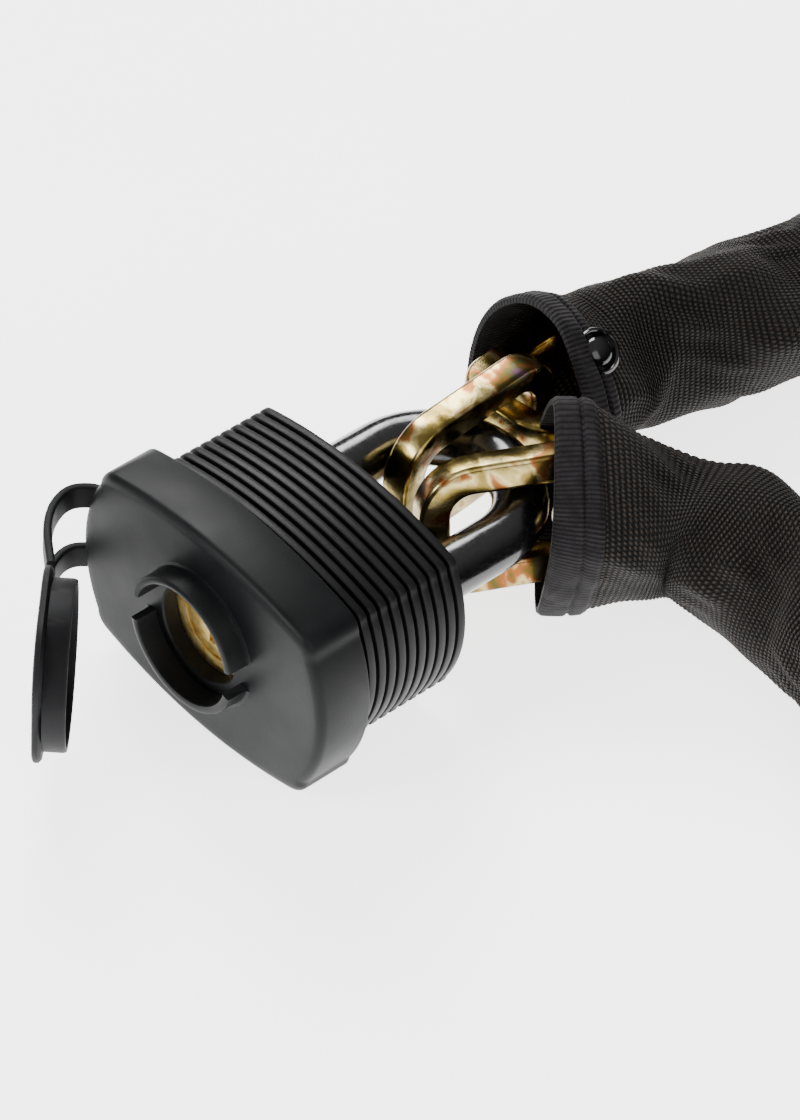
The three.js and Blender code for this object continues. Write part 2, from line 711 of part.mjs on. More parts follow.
// An odd number, so that the last one crosses the front lock link as the first crosses the rear one.
const hiddenLinks = 2 * Math.ceil((chainRoute.getLength() / linkPitch - 1) / 2) + 1;
for (let i = 0; i < hiddenLinks; i += 1) {
  const from = chainRoute.getPointAt(i / hiddenLinks);
  const to = chainRoute.getPointAt((i + 1) / hiddenLinks);
  const centre = from.clone().add(to).multiplyScalar(0.5);
  const along = to.clone().sub(from).normalize();
  const quarterTurns = (i + 1) * (Math.PI / 2);
  const settled = quarterTurns + (frontLinkLean * (i + 1)) / (hiddenLinks + 1);
  const across = up.clone().applyAxisAngle(along, settled);
  part(`chain_link_${i + 1}`, link(centre, along, across), goldZinc);
}

// ---- sleeve -----------------------------------------------------------------------------------
/** A piece of the chain's route, between two distances along it. */
function routePiece(from, to, count) {
  const length = chainRoute.getLength();
  const points = [];
  for (let i = 0; i <= count; i += 1) {
    points.push(chainRoute.getPointAt((from + ((to - from) * i) / count) / length));
  }
  return new THREE.CatmullRomCurve3(points);
}

const sleeveRoute = routePiece(mouthInset, chainRoute.getLength() - mouthInset, sleeveSteps);
part(
  'sleeve',
  new THREE.ExtrudeGeometry(disc(sleeveOuterRadius, sleeveSides, sleeveOuterRadius - sleeveWall), {
    steps: sleeveSteps,
    bevelEnabled: false,
    extrudePath: sleeveRoute,
  }),
  textile,
);

/** An oval as a list of points. */
function oval(height, breadth) {
  const points = [];
  for (let i = 0; i < roundSides; i += 1) {
    const angle = (2 * Math.PI * i) / roundSides;
    points.push(new THREE.Vector2((height / 2) * Math.cos(angle), (breadth / 2) * Math.sin(angle)));
  }
  return points;
}

/** The stitched hem of a mouth: an oval band in line with one end of the sleeve. */
function hem(atEnd, long) {
  const end = sleeveRoute.getPointAt(atEnd ? 1 : 0);
  const along = sleeveRoute.getTangentAt(atEnd ? 1 : 0);
  const outward = along.clone().multiplyScalar(atEnd ? 1 : -1);
  const shape = new THREE.Shape(oval(hemHeight, hemBreadth));
  shape.holes.push(new THREE.Path(oval(hemHeight - 2 * hemWall, hemBreadth - 2 * hemWall).reverse()));
  const geometry = new THREE.ExtrudeGeometry(shape, { depth: hemLength, bevelEnabled: false });
  geometry.translate(0, 0, -hemLength / 2);
  const short = new THREE.Vector3().crossVectors(along, long).normalize();
  const tall = new THREE.Vector3().crossVectors(short, along).normalize();
  geometry.applyMatrix4(new THREE.Matrix4().makeBasis(tall, short, along));
  const middle = end.addScaledVector(outward, hemLength / 2 + hemJoint);
  geometry.translate(middle.x, middle.y, middle.z);
  geometry.computeBoundingBox();
  return geometry.translate(0, 0, gap / 2 - geometry.boundingBox.min.z);
}

part('rear_hem', hem(false, new THREE.Vector3(0, 0.3, 0.95)), textile);
part('front_hem', hem(true, new THREE.Vector3(0.13, 0.08, 0.95)), textile);

// ---- stud -------------------------------------------------------------------------------------
const studAt = sleeveRoute.getPointAt(0.012);
const studOut = new THREE.Vector3(0, -0.63, 0.77).normalize();
const stud = new THREE.CylinderGeometry(studRadius * 0.7, studRadius, studHeight, rodSides);
stud.applyQuaternion(new THREE.Quaternion().setFromUnitVectors(new THREE.Vector3(0, 1, 0), studOut));
studAt.addScaledVector(studOut, sleeveOuterRadius + studStandOff + studHeight / 2);
part('sleeve_stud', stud.translate(studAt.x, studAt.y, studAt.z), studMetal);

export default group;
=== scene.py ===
"""Looks of a weather-covered padlock on a chain in a woven sleeve.

Metres, +Z up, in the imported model's frame.
"""

import json
import logging
import math
from collections.abc import Callable, Sequence
from dataclasses import dataclass, field
from enum import Enum

import bmesh
import bpy
import numpy as np
from mathutils import Matrix, Vector


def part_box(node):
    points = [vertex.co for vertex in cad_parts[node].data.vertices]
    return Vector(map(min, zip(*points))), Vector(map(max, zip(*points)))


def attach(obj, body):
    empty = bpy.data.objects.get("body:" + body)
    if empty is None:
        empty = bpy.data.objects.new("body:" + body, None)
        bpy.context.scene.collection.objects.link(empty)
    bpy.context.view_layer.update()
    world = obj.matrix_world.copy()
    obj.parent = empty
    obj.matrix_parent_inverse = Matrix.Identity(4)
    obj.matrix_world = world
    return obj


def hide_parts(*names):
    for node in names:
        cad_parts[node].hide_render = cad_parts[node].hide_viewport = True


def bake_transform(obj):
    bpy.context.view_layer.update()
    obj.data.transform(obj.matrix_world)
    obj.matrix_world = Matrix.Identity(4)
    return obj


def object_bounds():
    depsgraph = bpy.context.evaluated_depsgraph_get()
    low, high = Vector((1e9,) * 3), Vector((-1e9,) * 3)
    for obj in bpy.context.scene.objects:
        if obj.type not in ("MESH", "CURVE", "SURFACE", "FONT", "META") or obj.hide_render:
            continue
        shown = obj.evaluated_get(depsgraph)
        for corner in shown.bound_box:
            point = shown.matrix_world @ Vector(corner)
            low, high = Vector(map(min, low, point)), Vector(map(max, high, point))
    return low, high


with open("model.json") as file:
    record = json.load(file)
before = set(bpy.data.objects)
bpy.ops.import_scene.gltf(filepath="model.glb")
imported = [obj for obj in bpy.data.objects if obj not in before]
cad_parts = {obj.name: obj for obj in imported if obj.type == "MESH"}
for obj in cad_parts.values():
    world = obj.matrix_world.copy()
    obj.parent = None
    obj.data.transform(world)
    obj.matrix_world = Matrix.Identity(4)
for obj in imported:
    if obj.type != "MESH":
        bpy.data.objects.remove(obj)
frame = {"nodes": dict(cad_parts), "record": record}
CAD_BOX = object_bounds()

MM = 0.001
LOG = logging.getLogger("padlock")


# ---- small tools ----------------------------------------------------------------------------


def linear(colour: str) -> tuple[float, float, float, float]:
    """Turns an sRGB hex colour into a linear one.

    Args:
        colour: Six hex digits, such as "1c1c1e".

    Returns:
        Red, green, blue and an alpha of 1.
    """
    channels = [int(colour[i : i + 2], 16) / 255 for i in (0, 2, 4)]
    straight = [c / 12.92 if c <= 0.04045 else ((c + 0.055) / 1.055) ** 2.4 for c in channels]
    return (*straight, 1.0)


def add_node(
    tree: bpy.types.NodeTree, kind: str, settings: dict | None = None, inputs: dict | None = None
) -> bpy.types.Node:
    """Adds one shader node with its settings and links.

    Args:
        tree: The node tree that gets the node.
        kind: The node's type name.
        settings: Properties by name; "stops" is a colour ramp's list of (place, hex colour).
        inputs: Constants or output sockets by input name or number.

    Returns:
        The new node.
    """
    node = tree.nodes.new(kind)
    for name, value in (settings or {}).items():
        if name == "stops":
            elements = node.color_ramp.elements
            while len(elements) < len(value):
                elements.new(1.0)
            for element, (place, colour) in zip(elements, value):
                element.position = place
                element.color = linear(colour)
        else:
            setattr(node, name, value)
    for key, value in (inputs or {}).items():
        if isinstance(value, bpy.types.NodeSocket):
            tree.links.new(value, node.inputs[key])
        else:
            node.inputs[key].default_value = value
    return node


def make_mesh(name: str, points: np.ndarray, faces: np.ndarray | list, uv: np.ndarray | None = None,
              crease: float = 35.0) -> bpy.types.Object:
    """Makes a mesh object whose faces point outwards.

    Args:
        name: The object's name.
        points: Vertices in metres, one row each.
        faces: Vertex numbers of each face.
        uv: One (u, v) for each corner of each face, in the order of the faces.
        crease: Edges sharper than this angle in degrees stay sharp.

    Returns:
        The new object, linked to the scene.
    """
    mesh = bpy.data.meshes.new(name)
    mesh.from_pydata(np.asarray(points, float).tolist(), [], np.asarray(faces).tolist()
                     if isinstance(faces, np.ndarray) else faces)
    if uv is not None:
        layer = mesh.uv_layers.new(name="weave")
        layer.data.foreach_set("uv", np.asarray(uv, float).ravel())
    work = bmesh.new()
    work.from_mesh(mesh)
    bmesh.ops.recalc_face_normals(work, faces=work.faces)
    work.to_mesh(mesh)
    work.free()
    mesh.shade_smooth()
    mesh.set_sharp_from_angle(angle=math.radians(crease))
    thing = bpy.data.objects.new(name, mesh)
    bpy.context.scene.collection.objects.link(thing)
    return thing


def loft(rings: np.ndarray, closed: bool = False, caps: bool = True,
         uv: np.ndarray | None = None) -> tuple[np.ndarray, list, np.ndarray | None]:
    """Joins rings of points into a skin.

    Args:
        rings: Points as [ring, point, xyz]; every ring has the same count and goes the same way round.
        closed: True if the last ring joins the first one.
        caps: True to close both ends with one face each.
        uv: The (u, v) of each ring's points and of its first point again, as [ring, point + 1, 2].

    Returns:
        The vertices, the faces and the corner coordinates, or None for those.
    """
    count, around = rings.shape[:2]
    first = np.arange(count if closed else count - 1)
    i, j = np.meshgrid(first, np.arange(around), indexing="ij")
    i, j = i.ravel(), j.ravel()
    above, beside = (i + 1) % count, (j + 1) % around
    faces = np.stack([i * around + j, i * around + beside, above * around + beside, above * around + j], 1)
    faces = faces.tolist()
    corners = None
    if uv is not None:
        corners = np.stack([uv[i, j], uv[i, j + 1], uv[above, j + 1], uv[above, j]], 1).reshape(-1, 2)
    if caps and not closed:
        faces += [list(range(around))[::-1], list(range((count - 1) * around, count * around))]
    return rings.reshape(-1, 3), faces, corners


def sweep(path: np.ndarray, section: np.ndarray, side: np.ndarray, closed: bool = False) -> np.ndarray:
    """Carries one flat section along a path.

    Args:
        path: Points of the path in metres.
        section: Points (across, up) of the section in metres.
        side: The direction that "up" keeps as nearly as it can.
        closed: True if the path comes back to its start.

    Returns:
        Rings of points for loft().
    """
    if closed:
        ahead = np.roll(path, -1, 0) - np.roll(path, 1, 0)
    else:
        ahead = np.gradient(path, axis=0)
    ahead /= np.linalg.norm(ahead, axis=1, keepdims=True)
    across = np.cross(ahead, side)
    across /= np.linalg.norm(across, axis=1, keepdims=True)
    up = np.cross(across, ahead)
    return (path[:, None] + across[:, None] * section[None, :, :1] + up[:, None] * section[None, :, 1:])


def rounded_rectangle(width: float, height: float, radius: float, steps: int = 4) -> np.ndarray:
    """The outline of a rectangle with rounded corners, centred on the origin.

    Args:
        width: The first side in metres.
        height: The second side in metres.
        radius: The corner radius in metres.
        steps: Facets in each corner.

    Returns:
        Points in order round the outline.
    """
    points = []
    for quarter in range(4):
        turn = quarter * math.pi / 2
        x = (width / 2 - radius) * (1 if quarter in (0, 3) else -1)
        y = (height / 2 - radius) * (1 if quarter in (0, 1) else -1)
        for step in range(steps + 1):
            angle = turn + step / steps * math.pi / 2
            points.append((x + radius * math.cos(angle), y + radius * math.sin(angle)))
    return np.array(points)


def evenly(points: np.ndarray, step: float, closed: bool = False) -> np.ndarray:
    """Places points along a line at an even spacing.

    Args:
        points: The line's points in metres.
        step: The spacing in metres.
        closed: True if the line comes back to its start.

    Returns:
        The new points.
    """
    line = np.vstack([points, points[:1]]) if closed else points
    travelled = np.concatenate([[0], np.cumsum(np.linalg.norm(np.diff(line, axis=0), axis=1))])
    count = max(3, round(travelled[-1] / step))
    at = np.linspace(0, travelled[-1], count + 1)
    if closed:
        at = at[:-1]
    return np.stack([np.interp(at, travelled, line[:, axis]) for axis in range(points.shape[1])], 1)


def smooth_curve(points: np.ndarray, spans: int = 40) -> np.ndarray:
    """A centripetal Catmull-Rom curve through given points.

    Args:
        points: The points that the curve passes.
        spans: How many pieces each stretch is cut into.

    Returns:
        The curve's points.
    """
    guide = np.vstack([2 * points[0] - points[1], points, 2 * points[-1] - points[-2]])
    curve = []
    for i in range(len(points) - 1):
        p = guide[i : i + 4]
        knots = np.concatenate([[0], np.cumsum(np.linalg.norm(np.diff(p, axis=0), axis=1) ** 0.5)])
        for t in np.linspace(knots[1], knots[2], spans, endpoint=i == len(points) - 2):
            level = list(p)
            for width in (1, 2, 3):
                # The last blend runs over the middle stretch alone.
                first, last = (0, width) if width < 3 else (1, 2)
                blended = []
                for k in range(4 - width):
                    start, end = knots[k + first], knots[k + last]
                    before = level[k] * (end - t) / (end - start)
                    blended.append(before + level[k + 1] * (t - start) / (end - start))
                level = blended
            curve.append(level[0])
    return np.array(curve)


def fade(value: np.ndarray, start: float, end: float) -> np.ndarray:
    """A smooth step from 0 at start to 1 at end.

    Args:
        value: Where to read it.
        start: The value at and before which it is 0.
        end: The value at and after which it is 1.

    Returns:
        The step's height at each value.
    """
    t = np.clip((value - start) / (end - start), 0, 1)
    return t * t * (3 - 2 * t)


def dress(thing: bpy.types.Object, material: bpy.types.Material) -> None:
    """Gives an object one material in all its slots."""
    if not thing.material_slots:
        thing.data.materials.append(material)
    for place in thing.material_slots:
        place.material = material


# ---- finishes -------------------------------------------------------------------------------


class Grain(Enum):
    """How a plastic or rubber surface was made."""

    SPARK_ERODED = 0.35
    MATT_MOULD = 0.6
    RUBBERY = 0.9


@dataclass(frozen=True)
class Finish:
    """What every finish has.

    Attributes:
        name: The real material and its process.
        colour: The sRGB colour.
        roughness: The middle of its roughness.
        metallic: 1 for bare metal.
        ior: The index of refraction; a metal keeps the default.
        mirror: The shader's specular level: 0.5 for a clean face, less for one that dust and grain dull.
    """

    name: str
    colour: str
    roughness: float
    metallic: float = 0.0
    ior: float = 1.5
    mirror: float = 0.5

    def start(self) -> tuple[bpy.types.Material, bpy.types.NodeTree, bpy.types.Node, bpy.types.Node]:
        """Makes the material with its shader set, and coordinates in millimetres.

        Returns:
            The material, its tree, its shader and the node whose output is a place in millimetres.
        """
        material = bpy.data.materials.new(self.name)
        material.use_nodes = True
        tree = material.node_tree
        tree.nodes.clear()
        shader = add_node(tree, "ShaderNodeBsdfPrincipled", inputs={
            "Base Color": linear(self.colour), "Roughness": self.roughness,
            "Metallic": self.metallic, "IOR": self.ior, "Specular IOR Level": self.mirror,
        })
        add_node(tree, "ShaderNodeOutputMaterial", inputs={"Surface": shader.outputs["BSDF"]})
        place = add_node(tree, "ShaderNodeTexCoord")
        in_mm = add_node(tree, "ShaderNodeVectorMath", {"operation": "SCALE"},
                         {0: place.outputs["Object"], "Scale": 1 / MM})
        return material, tree, shader, in_mm

    def build(self) -> bpy.types.Material:
        """Makes the material.

        Returns:
            The finished material.
        """
        raise NotImplementedError


@dataclass(frozen=True)
class MouldedPolymer(Finish):
    """Moulded plastic or rubber: an eroded tool leaves a fine even grain, and a painted highlight lightens
    the edges.

    Attributes:
        light: The colour of its paler clouds.
        dust_and_edge_highlight: The colour of its flecks of dust and of the painted highlight on its edges.
        grain: How the surface was made.
        grain_mm: The size of the grain.
        relief_mm: The depth of the grain.
    """

    mirror: float = 0.12
    light: str = "3a3a3c"
    dust_and_edge_highlight: str = "2a2a2c"
    grain: Grain = Grain.MATT_MOULD
    grain_mm: float = 0.45
    relief_mm: float = 0.02

    def build(self) -> bpy.types.Material:
        """Makes the material."""
        material, tree, shader, in_mm = self.start()
        cloud = add_node(tree, "ShaderNodeTexNoise", inputs={
            "Vector": in_mm.outputs[0], "Scale": 0.09, "Detail": 3.0})
        tone = add_node(tree, "ShaderNodeValToRGB", {"stops": [(0.3, self.colour), (0.8, self.light)]},
                        {"Fac": cloud.outputs["Fac"]})
        # Dust and scuffed high spots: sparse pale flecks about a third of a millimetre across.
        dust = add_node(tree, "ShaderNodeTexNoise",
                        inputs={"Vector": in_mm.outputs[0], "Scale": 1 / self.grain_mm, "Detail": 2.0})
        fleck = add_node(tree, "ShaderNodeMapRange", inputs={
            "Value": dust.outputs["Fac"], "From Min": 0.68, "From Max": 0.8, "To Min": 0.0, "To Max": 0.3})
        # Painted highlight: convex edges, found by the mesh's pointiness, take the paler colour.
        shape = add_node(tree, "ShaderNodeNewGeometry")
        edge = add_node(tree, "ShaderNodeMapRange", inputs={
            "Value": shape.outputs["Pointiness"],
            "From Min": 0.52, "From Max": 0.62, "To Min": 0.0, "To Max": 0.5})
        # One mask and one colour serve both the dust flecks and the painted edge highlight.
        dust_and_highlight_mask = add_node(tree, "ShaderNodeMath", {"operation": "MAXIMUM"},
                        {0: fleck.outputs[0], 1: edge.outputs[0]})
        specks_and_painted_light = add_node(tree, "ShaderNodeMix", {"data_type": "RGBA"},
                        {0: dust_and_highlight_mask.outputs[0], 6: tone.outputs["Color"], 7: linear(self.dust_and_edge_highlight)})
        tree.links.new(specks_and_painted_light.outputs[2], shader.inputs["Base Color"])
        sheen = add_node(tree, "ShaderNodeMapRange", inputs={
            "Value": cloud.outputs["Fac"], "From Min": 0.3, "From Max": 0.7,
            "To Min": self.roughness - 0.05, "To Max": self.roughness + 0.07})
        tree.links.new(sheen.outputs[0], shader.inputs["Roughness"])
        fine = add_node(tree, "ShaderNodeTexNoise", inputs={
            "Vector": in_mm.outputs[0], "Scale": 1 / self.grain_mm,
            "Detail": 5.0, "Roughness": self.grain.value})
        bump = add_node(tree, "ShaderNodeBump", inputs={
            "Strength": 0.6, "Distance": self.relief_mm * MM, "Height": fine.outputs["Fac"]})
        tree.links.new(bump.outputs[0], shader.inputs["Normal"])
        return material


@dataclass(frozen=True)
class PassivatedZinc(Finish):
    """Gold-passivated zinc on a drawn square bar: a glossy film with patches of green, copper and violet.

    Attributes:
        patch_mm: The size of the coloured patches.
        scratch_mm: The spacing of the drawing lines.
    """

    patch_mm: float = 9.0
    scratch_mm: float = 0.5

    def build(self) -> bpy.types.Material:
        """Makes the material."""
        material, tree, shader, in_mm = self.start()
        patches = add_node(tree, "ShaderNodeTexNoise", inputs={
            "Vector": in_mm.outputs[0], "Scale": 1 / self.patch_mm,
            "Detail": 3.0, "Roughness": 0.5, "Distortion": 0.3})
        film = add_node(tree, "ShaderNodeValToRGB", {"stops": [
            (0.25, "2e2a17"), (0.36, "5c5228"), (0.46, self.colour), (0.53, "b8a872"),
            (0.60, "84502a"), (0.68, "4c4a24"), (0.80, "6a4860")]}, {"Fac": patches.outputs["Fac"]})
        tree.links.new(film.outputs["Color"], shader.inputs["Base Color"])
        gloss = add_node(tree, "ShaderNodeMapRange", inputs={
            "Value": patches.outputs["Fac"], "From Min": 0.3, "From Max": 0.75,
            "To Min": self.roughness - 0.07, "To Max": self.roughness + 0.16})
        tree.links.new(gloss.outputs[0], shader.inputs["Roughness"])
        grit = add_node(tree, "ShaderNodeTexNoise", inputs={
            "Vector": in_mm.outputs[0], "Scale": 1 / self.scratch_mm, "Detail": 3.0, "Roughness": 0.55})
        wave = add_node(tree, "ShaderNodeTexNoise", inputs={
            "Vector": in_mm.outputs[0], "Scale": 0.22, "Detail": 1.0})
        swell = add_node(tree, "ShaderNodeBump", inputs={
            "Strength": 0.6, "Distance": 0.35 * MM, "Height": wave.outputs["Fac"]})
        bump = add_node(tree, "ShaderNodeBump", inputs={
            "Strength": 0.35, "Distance": 0.03 * MM,
            "Height": grit.outputs["Fac"], "Normal": swell.outputs[0]})
        tree.links.new(bump.outputs[0], shader.inputs["Normal"])
        return material


@dataclass(frozen=True)
class TurnedBrass(Finish):
    """Turned brass: fine rings round the plug's axis, with brown tarnish in patches.

    Attributes:
        ring_mm: The spacing of the tool marks.
        axis_z_mm: The height of the lathe's axis.
    """

    ring_mm: float = 0.35
    axis_z_mm: float = 21.5

    def build(self) -> bpy.types.Material:
        """Makes the material."""
        material, tree, shader, in_mm = self.start()
        centred = add_node(tree, "ShaderNodeVectorMath", {"operation": "SUBTRACT"},
                           {0: in_mm.outputs[0], 1: (0.0, 0.0, self.axis_z_mm)})
        flat = add_node(tree, "ShaderNodeVectorMath", {"operation": "MULTIPLY"},
                        {0: centred.outputs[0], 1: (0.0, 1.0, 1.0)})
        radius = add_node(tree, "ShaderNodeVectorMath", {"operation": "LENGTH"}, {0: flat.outputs[0]})
        turns = add_node(tree, "ShaderNodeMath", {"operation": "MULTIPLY"},
                         {0: radius.outputs["Value"], 1: 2 * math.pi / self.ring_mm})
        rings = add_node(tree, "ShaderNodeMath", {"operation": "SINE"}, {0: turns.outputs[0]})
        patches = add_node(tree, "ShaderNodeTexNoise", inputs={
            "Vector": in_mm.outputs[0], "Scale": 0.35, "Detail": 4.0})
        film = add_node(tree, "ShaderNodeValToRGB", {"stops": [
            (0.25, "a88a4a"), (0.45, self.colour), (0.7, "f0dc9c")]}, {"Fac": patches.outputs["Fac"]})
        tree.links.new(film.outputs["Color"], shader.inputs["Base Color"])
        bump = add_node(tree, "ShaderNodeBump", inputs={
            "Strength": 0.5, "Distance": 0.015 * MM, "Height": rings.outputs[0]})
        tree.links.new(bump.outputs[0], shader.inputs["Normal"])
        return material


@dataclass(frozen=True)
class DippedVinyl(Finish):
    """A dipped vinyl coat: thick, glossy and faintly uneven, so its highlights waver.

    Attributes:
        sag_mm: The size of the unevenness.
    """

    sag_mm: float = 9.0

    def build(self) -> bpy.types.Material:
        """Makes the material."""
        material, tree, shader, in_mm = self.start()
        shader.inputs["Coat Weight"].default_value = 0.35
        shader.inputs["Coat Roughness"].default_value = 0.12
        sag = add_node(tree, "ShaderNodeTexNoise", inputs={
            "Vector": in_mm.outputs[0], "Scale": 1 / self.sag_mm, "Detail": 2.0})
        scuff = add_node(tree, "ShaderNodeTexNoise", inputs={
            "Vector": in_mm.outputs[0], "Scale": 1.3, "Detail": 5.0})
        rough = add_node(tree, "ShaderNodeMapRange", inputs={
            "Value": scuff.outputs["Fac"], "From Min": 0.4, "From Max": 0.75,
            "To Min": self.roughness, "To Max": self.roughness + 0.12})
        tree.links.new(rough.outputs[0], shader.inputs["Roughness"])
        tone = add_node(tree, "ShaderNodeValToRGB", {"stops": [(0.45, self.colour), (0.8, "141416")]},
                        {"Fac": scuff.outputs["Fac"]})
        tree.links.new(tone.outputs["Color"], shader.inputs["Base Color"])
        bump = add_node(tree, "ShaderNodeBump", inputs={
            "Strength": 0.5, "Distance": 0.5 * MM, "Height": sag.outputs["Fac"]})
        tree.links.new(bump.outputs[0], shader.inputs["Normal"])
        return material


@dataclass(frozen=True)
class PlatedSteel(Finish):
    """Hardened steel with bright plating, or enamel over it: smooth, with faint handling marks.

    Attributes:
        mark_mm: The size of the marks.
    """

    mark_mm: float = 1.2

    def build(self) -> bpy.types.Material:
        """Makes the material."""
        material, tree, shader, in_mm = self.start()
        marks = add_node(tree, "ShaderNodeTexNoise", inputs={
            "Vector": in_mm.outputs[0], "Scale": 1 / self.mark_mm, "Detail": 6.0, "Roughness": 0.65})
        rough = add_node(tree, "ShaderNodeMapRange", inputs={
            "Value": marks.outputs["Fac"], "From Min": 0.35, "From Max": 0.75,
            "To Min": self.roughness, "To Max": self.roughness + 0.2})
        tree.links.new(rough.outputs[0], shader.inputs["Roughness"])
        bump = add_node(tree, "ShaderNodeBump", inputs={
            "Strength": 0.2, "Distance": 0.01 * MM, "Height": marks.outputs["Fac"]})
        tree.links.new(bump.outputs[0], shader.inputs["Normal"])
        return material


@dataclass(frozen=True)
class WovenYarn(Finish):
    """Plain-woven synthetic yarn: rows of knuckles, each row set half a knuckle from the next.

    The "weave" coordinates run along the sleeve and around it, in millimetres.

    Attributes:
        sheen: How much light the loose fibres catch.
        light: The colour of the knuckles' tops, which carry a painted highlight.
        row_mm: The spacing of the rows along the sleeve.
        knuckle_mm: The spacing of the knuckles around it.
        relief_mm: How far the knuckles stand out.
    """

    mirror: float = 0.15
    sheen: float = 0.03
    light: str = "4a4542"
    row_mm: float = 1.05
    knuckle_mm: float = 0.8
    relief_mm: float = 0.4

    def build(self) -> bpy.types.Material:
        """Makes the material."""
        material, tree, shader, in_mm = self.start()
        shader.inputs["Sheen Weight"].default_value = self.sheen
        shader.inputs["Sheen Roughness"].default_value = 0.45
        weave = add_node(tree, "ShaderNodeUVMap", {"uv_map": "weave"})
        parts = add_node(tree, "ShaderNodeSeparateXYZ", inputs={0: weave.outputs[0]})
        rows = add_node(tree, "ShaderNodeMath", {"operation": "DIVIDE"},
                        {0: parts.outputs["X"], 1: self.row_mm})
        row = add_node(tree, "ShaderNodeMath", {"operation": "FLOOR"}, {0: rows.outputs[0]})
        half = add_node(tree, "ShaderNodeMath", {"operation": "MULTIPLY"}, {0: row.outputs[0], 1: 0.5})
        around = add_node(tree, "ShaderNodeMath", {"operation": "DIVIDE"},
                          {0: parts.outputs["Y"], 1: self.knuckle_mm})
        shifted = add_node(tree, "ShaderNodeMath", {"operation": "ADD"},
                           {0: around.outputs[0], 1: half.outputs[0]})
        crests = []
        for count in (rows, shifted):
            angle = add_node(tree, "ShaderNodeMath", {"operation": "MULTIPLY"},
                             {0: count.outputs[0], 1: math.pi})
            swing = add_node(tree, "ShaderNodeMath", {"operation": "SINE"}, {0: angle.outputs[0]})
            crests.append(add_node(tree, "ShaderNodeMath", {"operation": "ABSOLUTE"}, {0: swing.outputs[0]}))
        knuckle = add_node(tree, "ShaderNodeMath", {"operation": "MULTIPLY"},
                           {0: crests[0].outputs[0], 1: crests[1].outputs[0]})
        fibre = add_node(tree, "ShaderNodeTexNoise", inputs={
            "Vector": in_mm.outputs[0], "Scale": 2.2, "Detail": 4.0, "Roughness": 0.7})
        # Painted shade and highlight: the knuckle crests set the tone, near black in the gaps between
        # knuckles and lighter on their tops, mottled by the fibre noise.
        specks_and_painted_light = add_node(tree, "ShaderNodeMath", {"operation": "MULTIPLY"},
                        {0: knuckle.outputs[0], 1: fibre.outputs["Fac"]})
        tone = add_node(tree, "ShaderNodeValToRGB", {"stops": [
            (0.06, "030303"), (0.22, self.colour), (0.5, self.light)]}, {"Fac": specks_and_painted_light.outputs[0]})
        tree.links.new(tone.outputs["Color"], shader.inputs["Base Color"])
        bump = add_node(tree, "ShaderNodeBump", inputs={
            "Strength": 1.0, "Distance": self.relief_mm * MM, "Height": knuckle.outputs[0]})
        tree.links.new(bump.outputs[0], shader.inputs["Normal"])
        return material


@dataclass(frozen=True)
class SelvedgeTape(Finish):
    """A woven selvedge tape: close cords side by side, each bound by fine thread across it.

    Attributes:
        sheen: How much light the loose fibres catch.
        light: The colour of the cords' tops, which carry a painted highlight.
        cord_mm: The spacing of the cords around the sleeve.
        thread_mm: The spacing of the binding threads.
    """

    mirror: float = 0.15
    sheen: float = 0.03
    light: str = "524e4f"
    cord_mm: float = 0.75
    thread_mm: float = 0.3

    def build(self) -> bpy.types.Material:
        """Makes the material."""
        material, tree, shader, in_mm = self.start()
        shader.inputs["Sheen Weight"].default_value = self.sheen
        shader.inputs["Sheen Roughness"].default_value = 0.4
        weave = add_node(tree, "ShaderNodeUVMap", {"uv_map": "weave"})
        parts = add_node(tree, "ShaderNodeSeparateXYZ", inputs={0: weave.outputs[0]})
        crests = []
        for socket, pitch in (("Y", self.cord_mm), ("X", self.thread_mm)):
            angle = add_node(tree, "ShaderNodeMath", {"operation": "MULTIPLY"},
                             {0: parts.outputs[socket], 1: math.pi / pitch})
            swing = add_node(tree, "ShaderNodeMath", {"operation": "SINE"}, {0: angle.outputs[0]})
            crests.append(add_node(tree, "ShaderNodeMath", {"operation": "ABSOLUTE"}, {0: swing.outputs[0]}))
        fine = add_node(tree, "ShaderNodeMath", {"operation": "MULTIPLY_ADD"},
                        {0: crests[1].outputs[0], 1: 0.3, 2: crests[0].outputs[0]})
        fibre = add_node(tree, "ShaderNodeTexNoise", inputs={
            "Vector": in_mm.outputs[0], "Scale": 0.35, "Detail": 5.0, "Roughness": 0.7})
        mixed = add_node(tree, "ShaderNodeMath", {"operation": "MULTIPLY"},
                         {0: fine.outputs[0], 1: fibre.outputs["Fac"]})
        # Painted shade and highlight: near black in the grooves between cords and threads and lighter on
        # their tops, mottled by the fibre noise.
        tone = add_node(tree, "ShaderNodeValToRGB", {"stops": [
            (0.1, "080708"), (0.35, self.colour), (0.85, self.light)]}, {"Fac": mixed.outputs[0]})
        tree.links.new(tone.outputs["Color"], shader.inputs["Base Color"])
        bump = add_node(tree, "ShaderNodeBump", inputs={
            "Strength": 0.8, "Distance": 0.12 * MM, "Height": fine.outputs[0]})
        tree.links.new(bump.outputs[0], shader.inputs["Normal"])
        return material


@dataclass(frozen=True)
class PaperSweep(Finish):
    """A pale paper sweep, lit a little from below: matt, with faint unevenness.

    Attributes:
        glow: How much light comes through it.
    """

    glow: float = 2.8

    def build(self) -> bpy.types.Material:
        """Makes the material."""
        material, tree, shader, in_mm = self.start()
        cloud = add_node(tree, "ShaderNodeTexNoise", inputs={
            "Vector": in_mm.outputs[0], "Scale": 0.01, "Detail": 2.0})
        tone = add_node(tree, "ShaderNodeValToRGB", {"stops": [(0.3, self.colour), (0.7, "ffffff")]},
                        {"Fac": cloud.outputs["Fac"]})
        tree.links.new(tone.outputs["Color"], shader.inputs["Base Color"])
        shader.inputs["Emission Color"].default_value = linear("ffffff")
        shader.inputs["Emission Strength"].default_value = self.glow
        return material


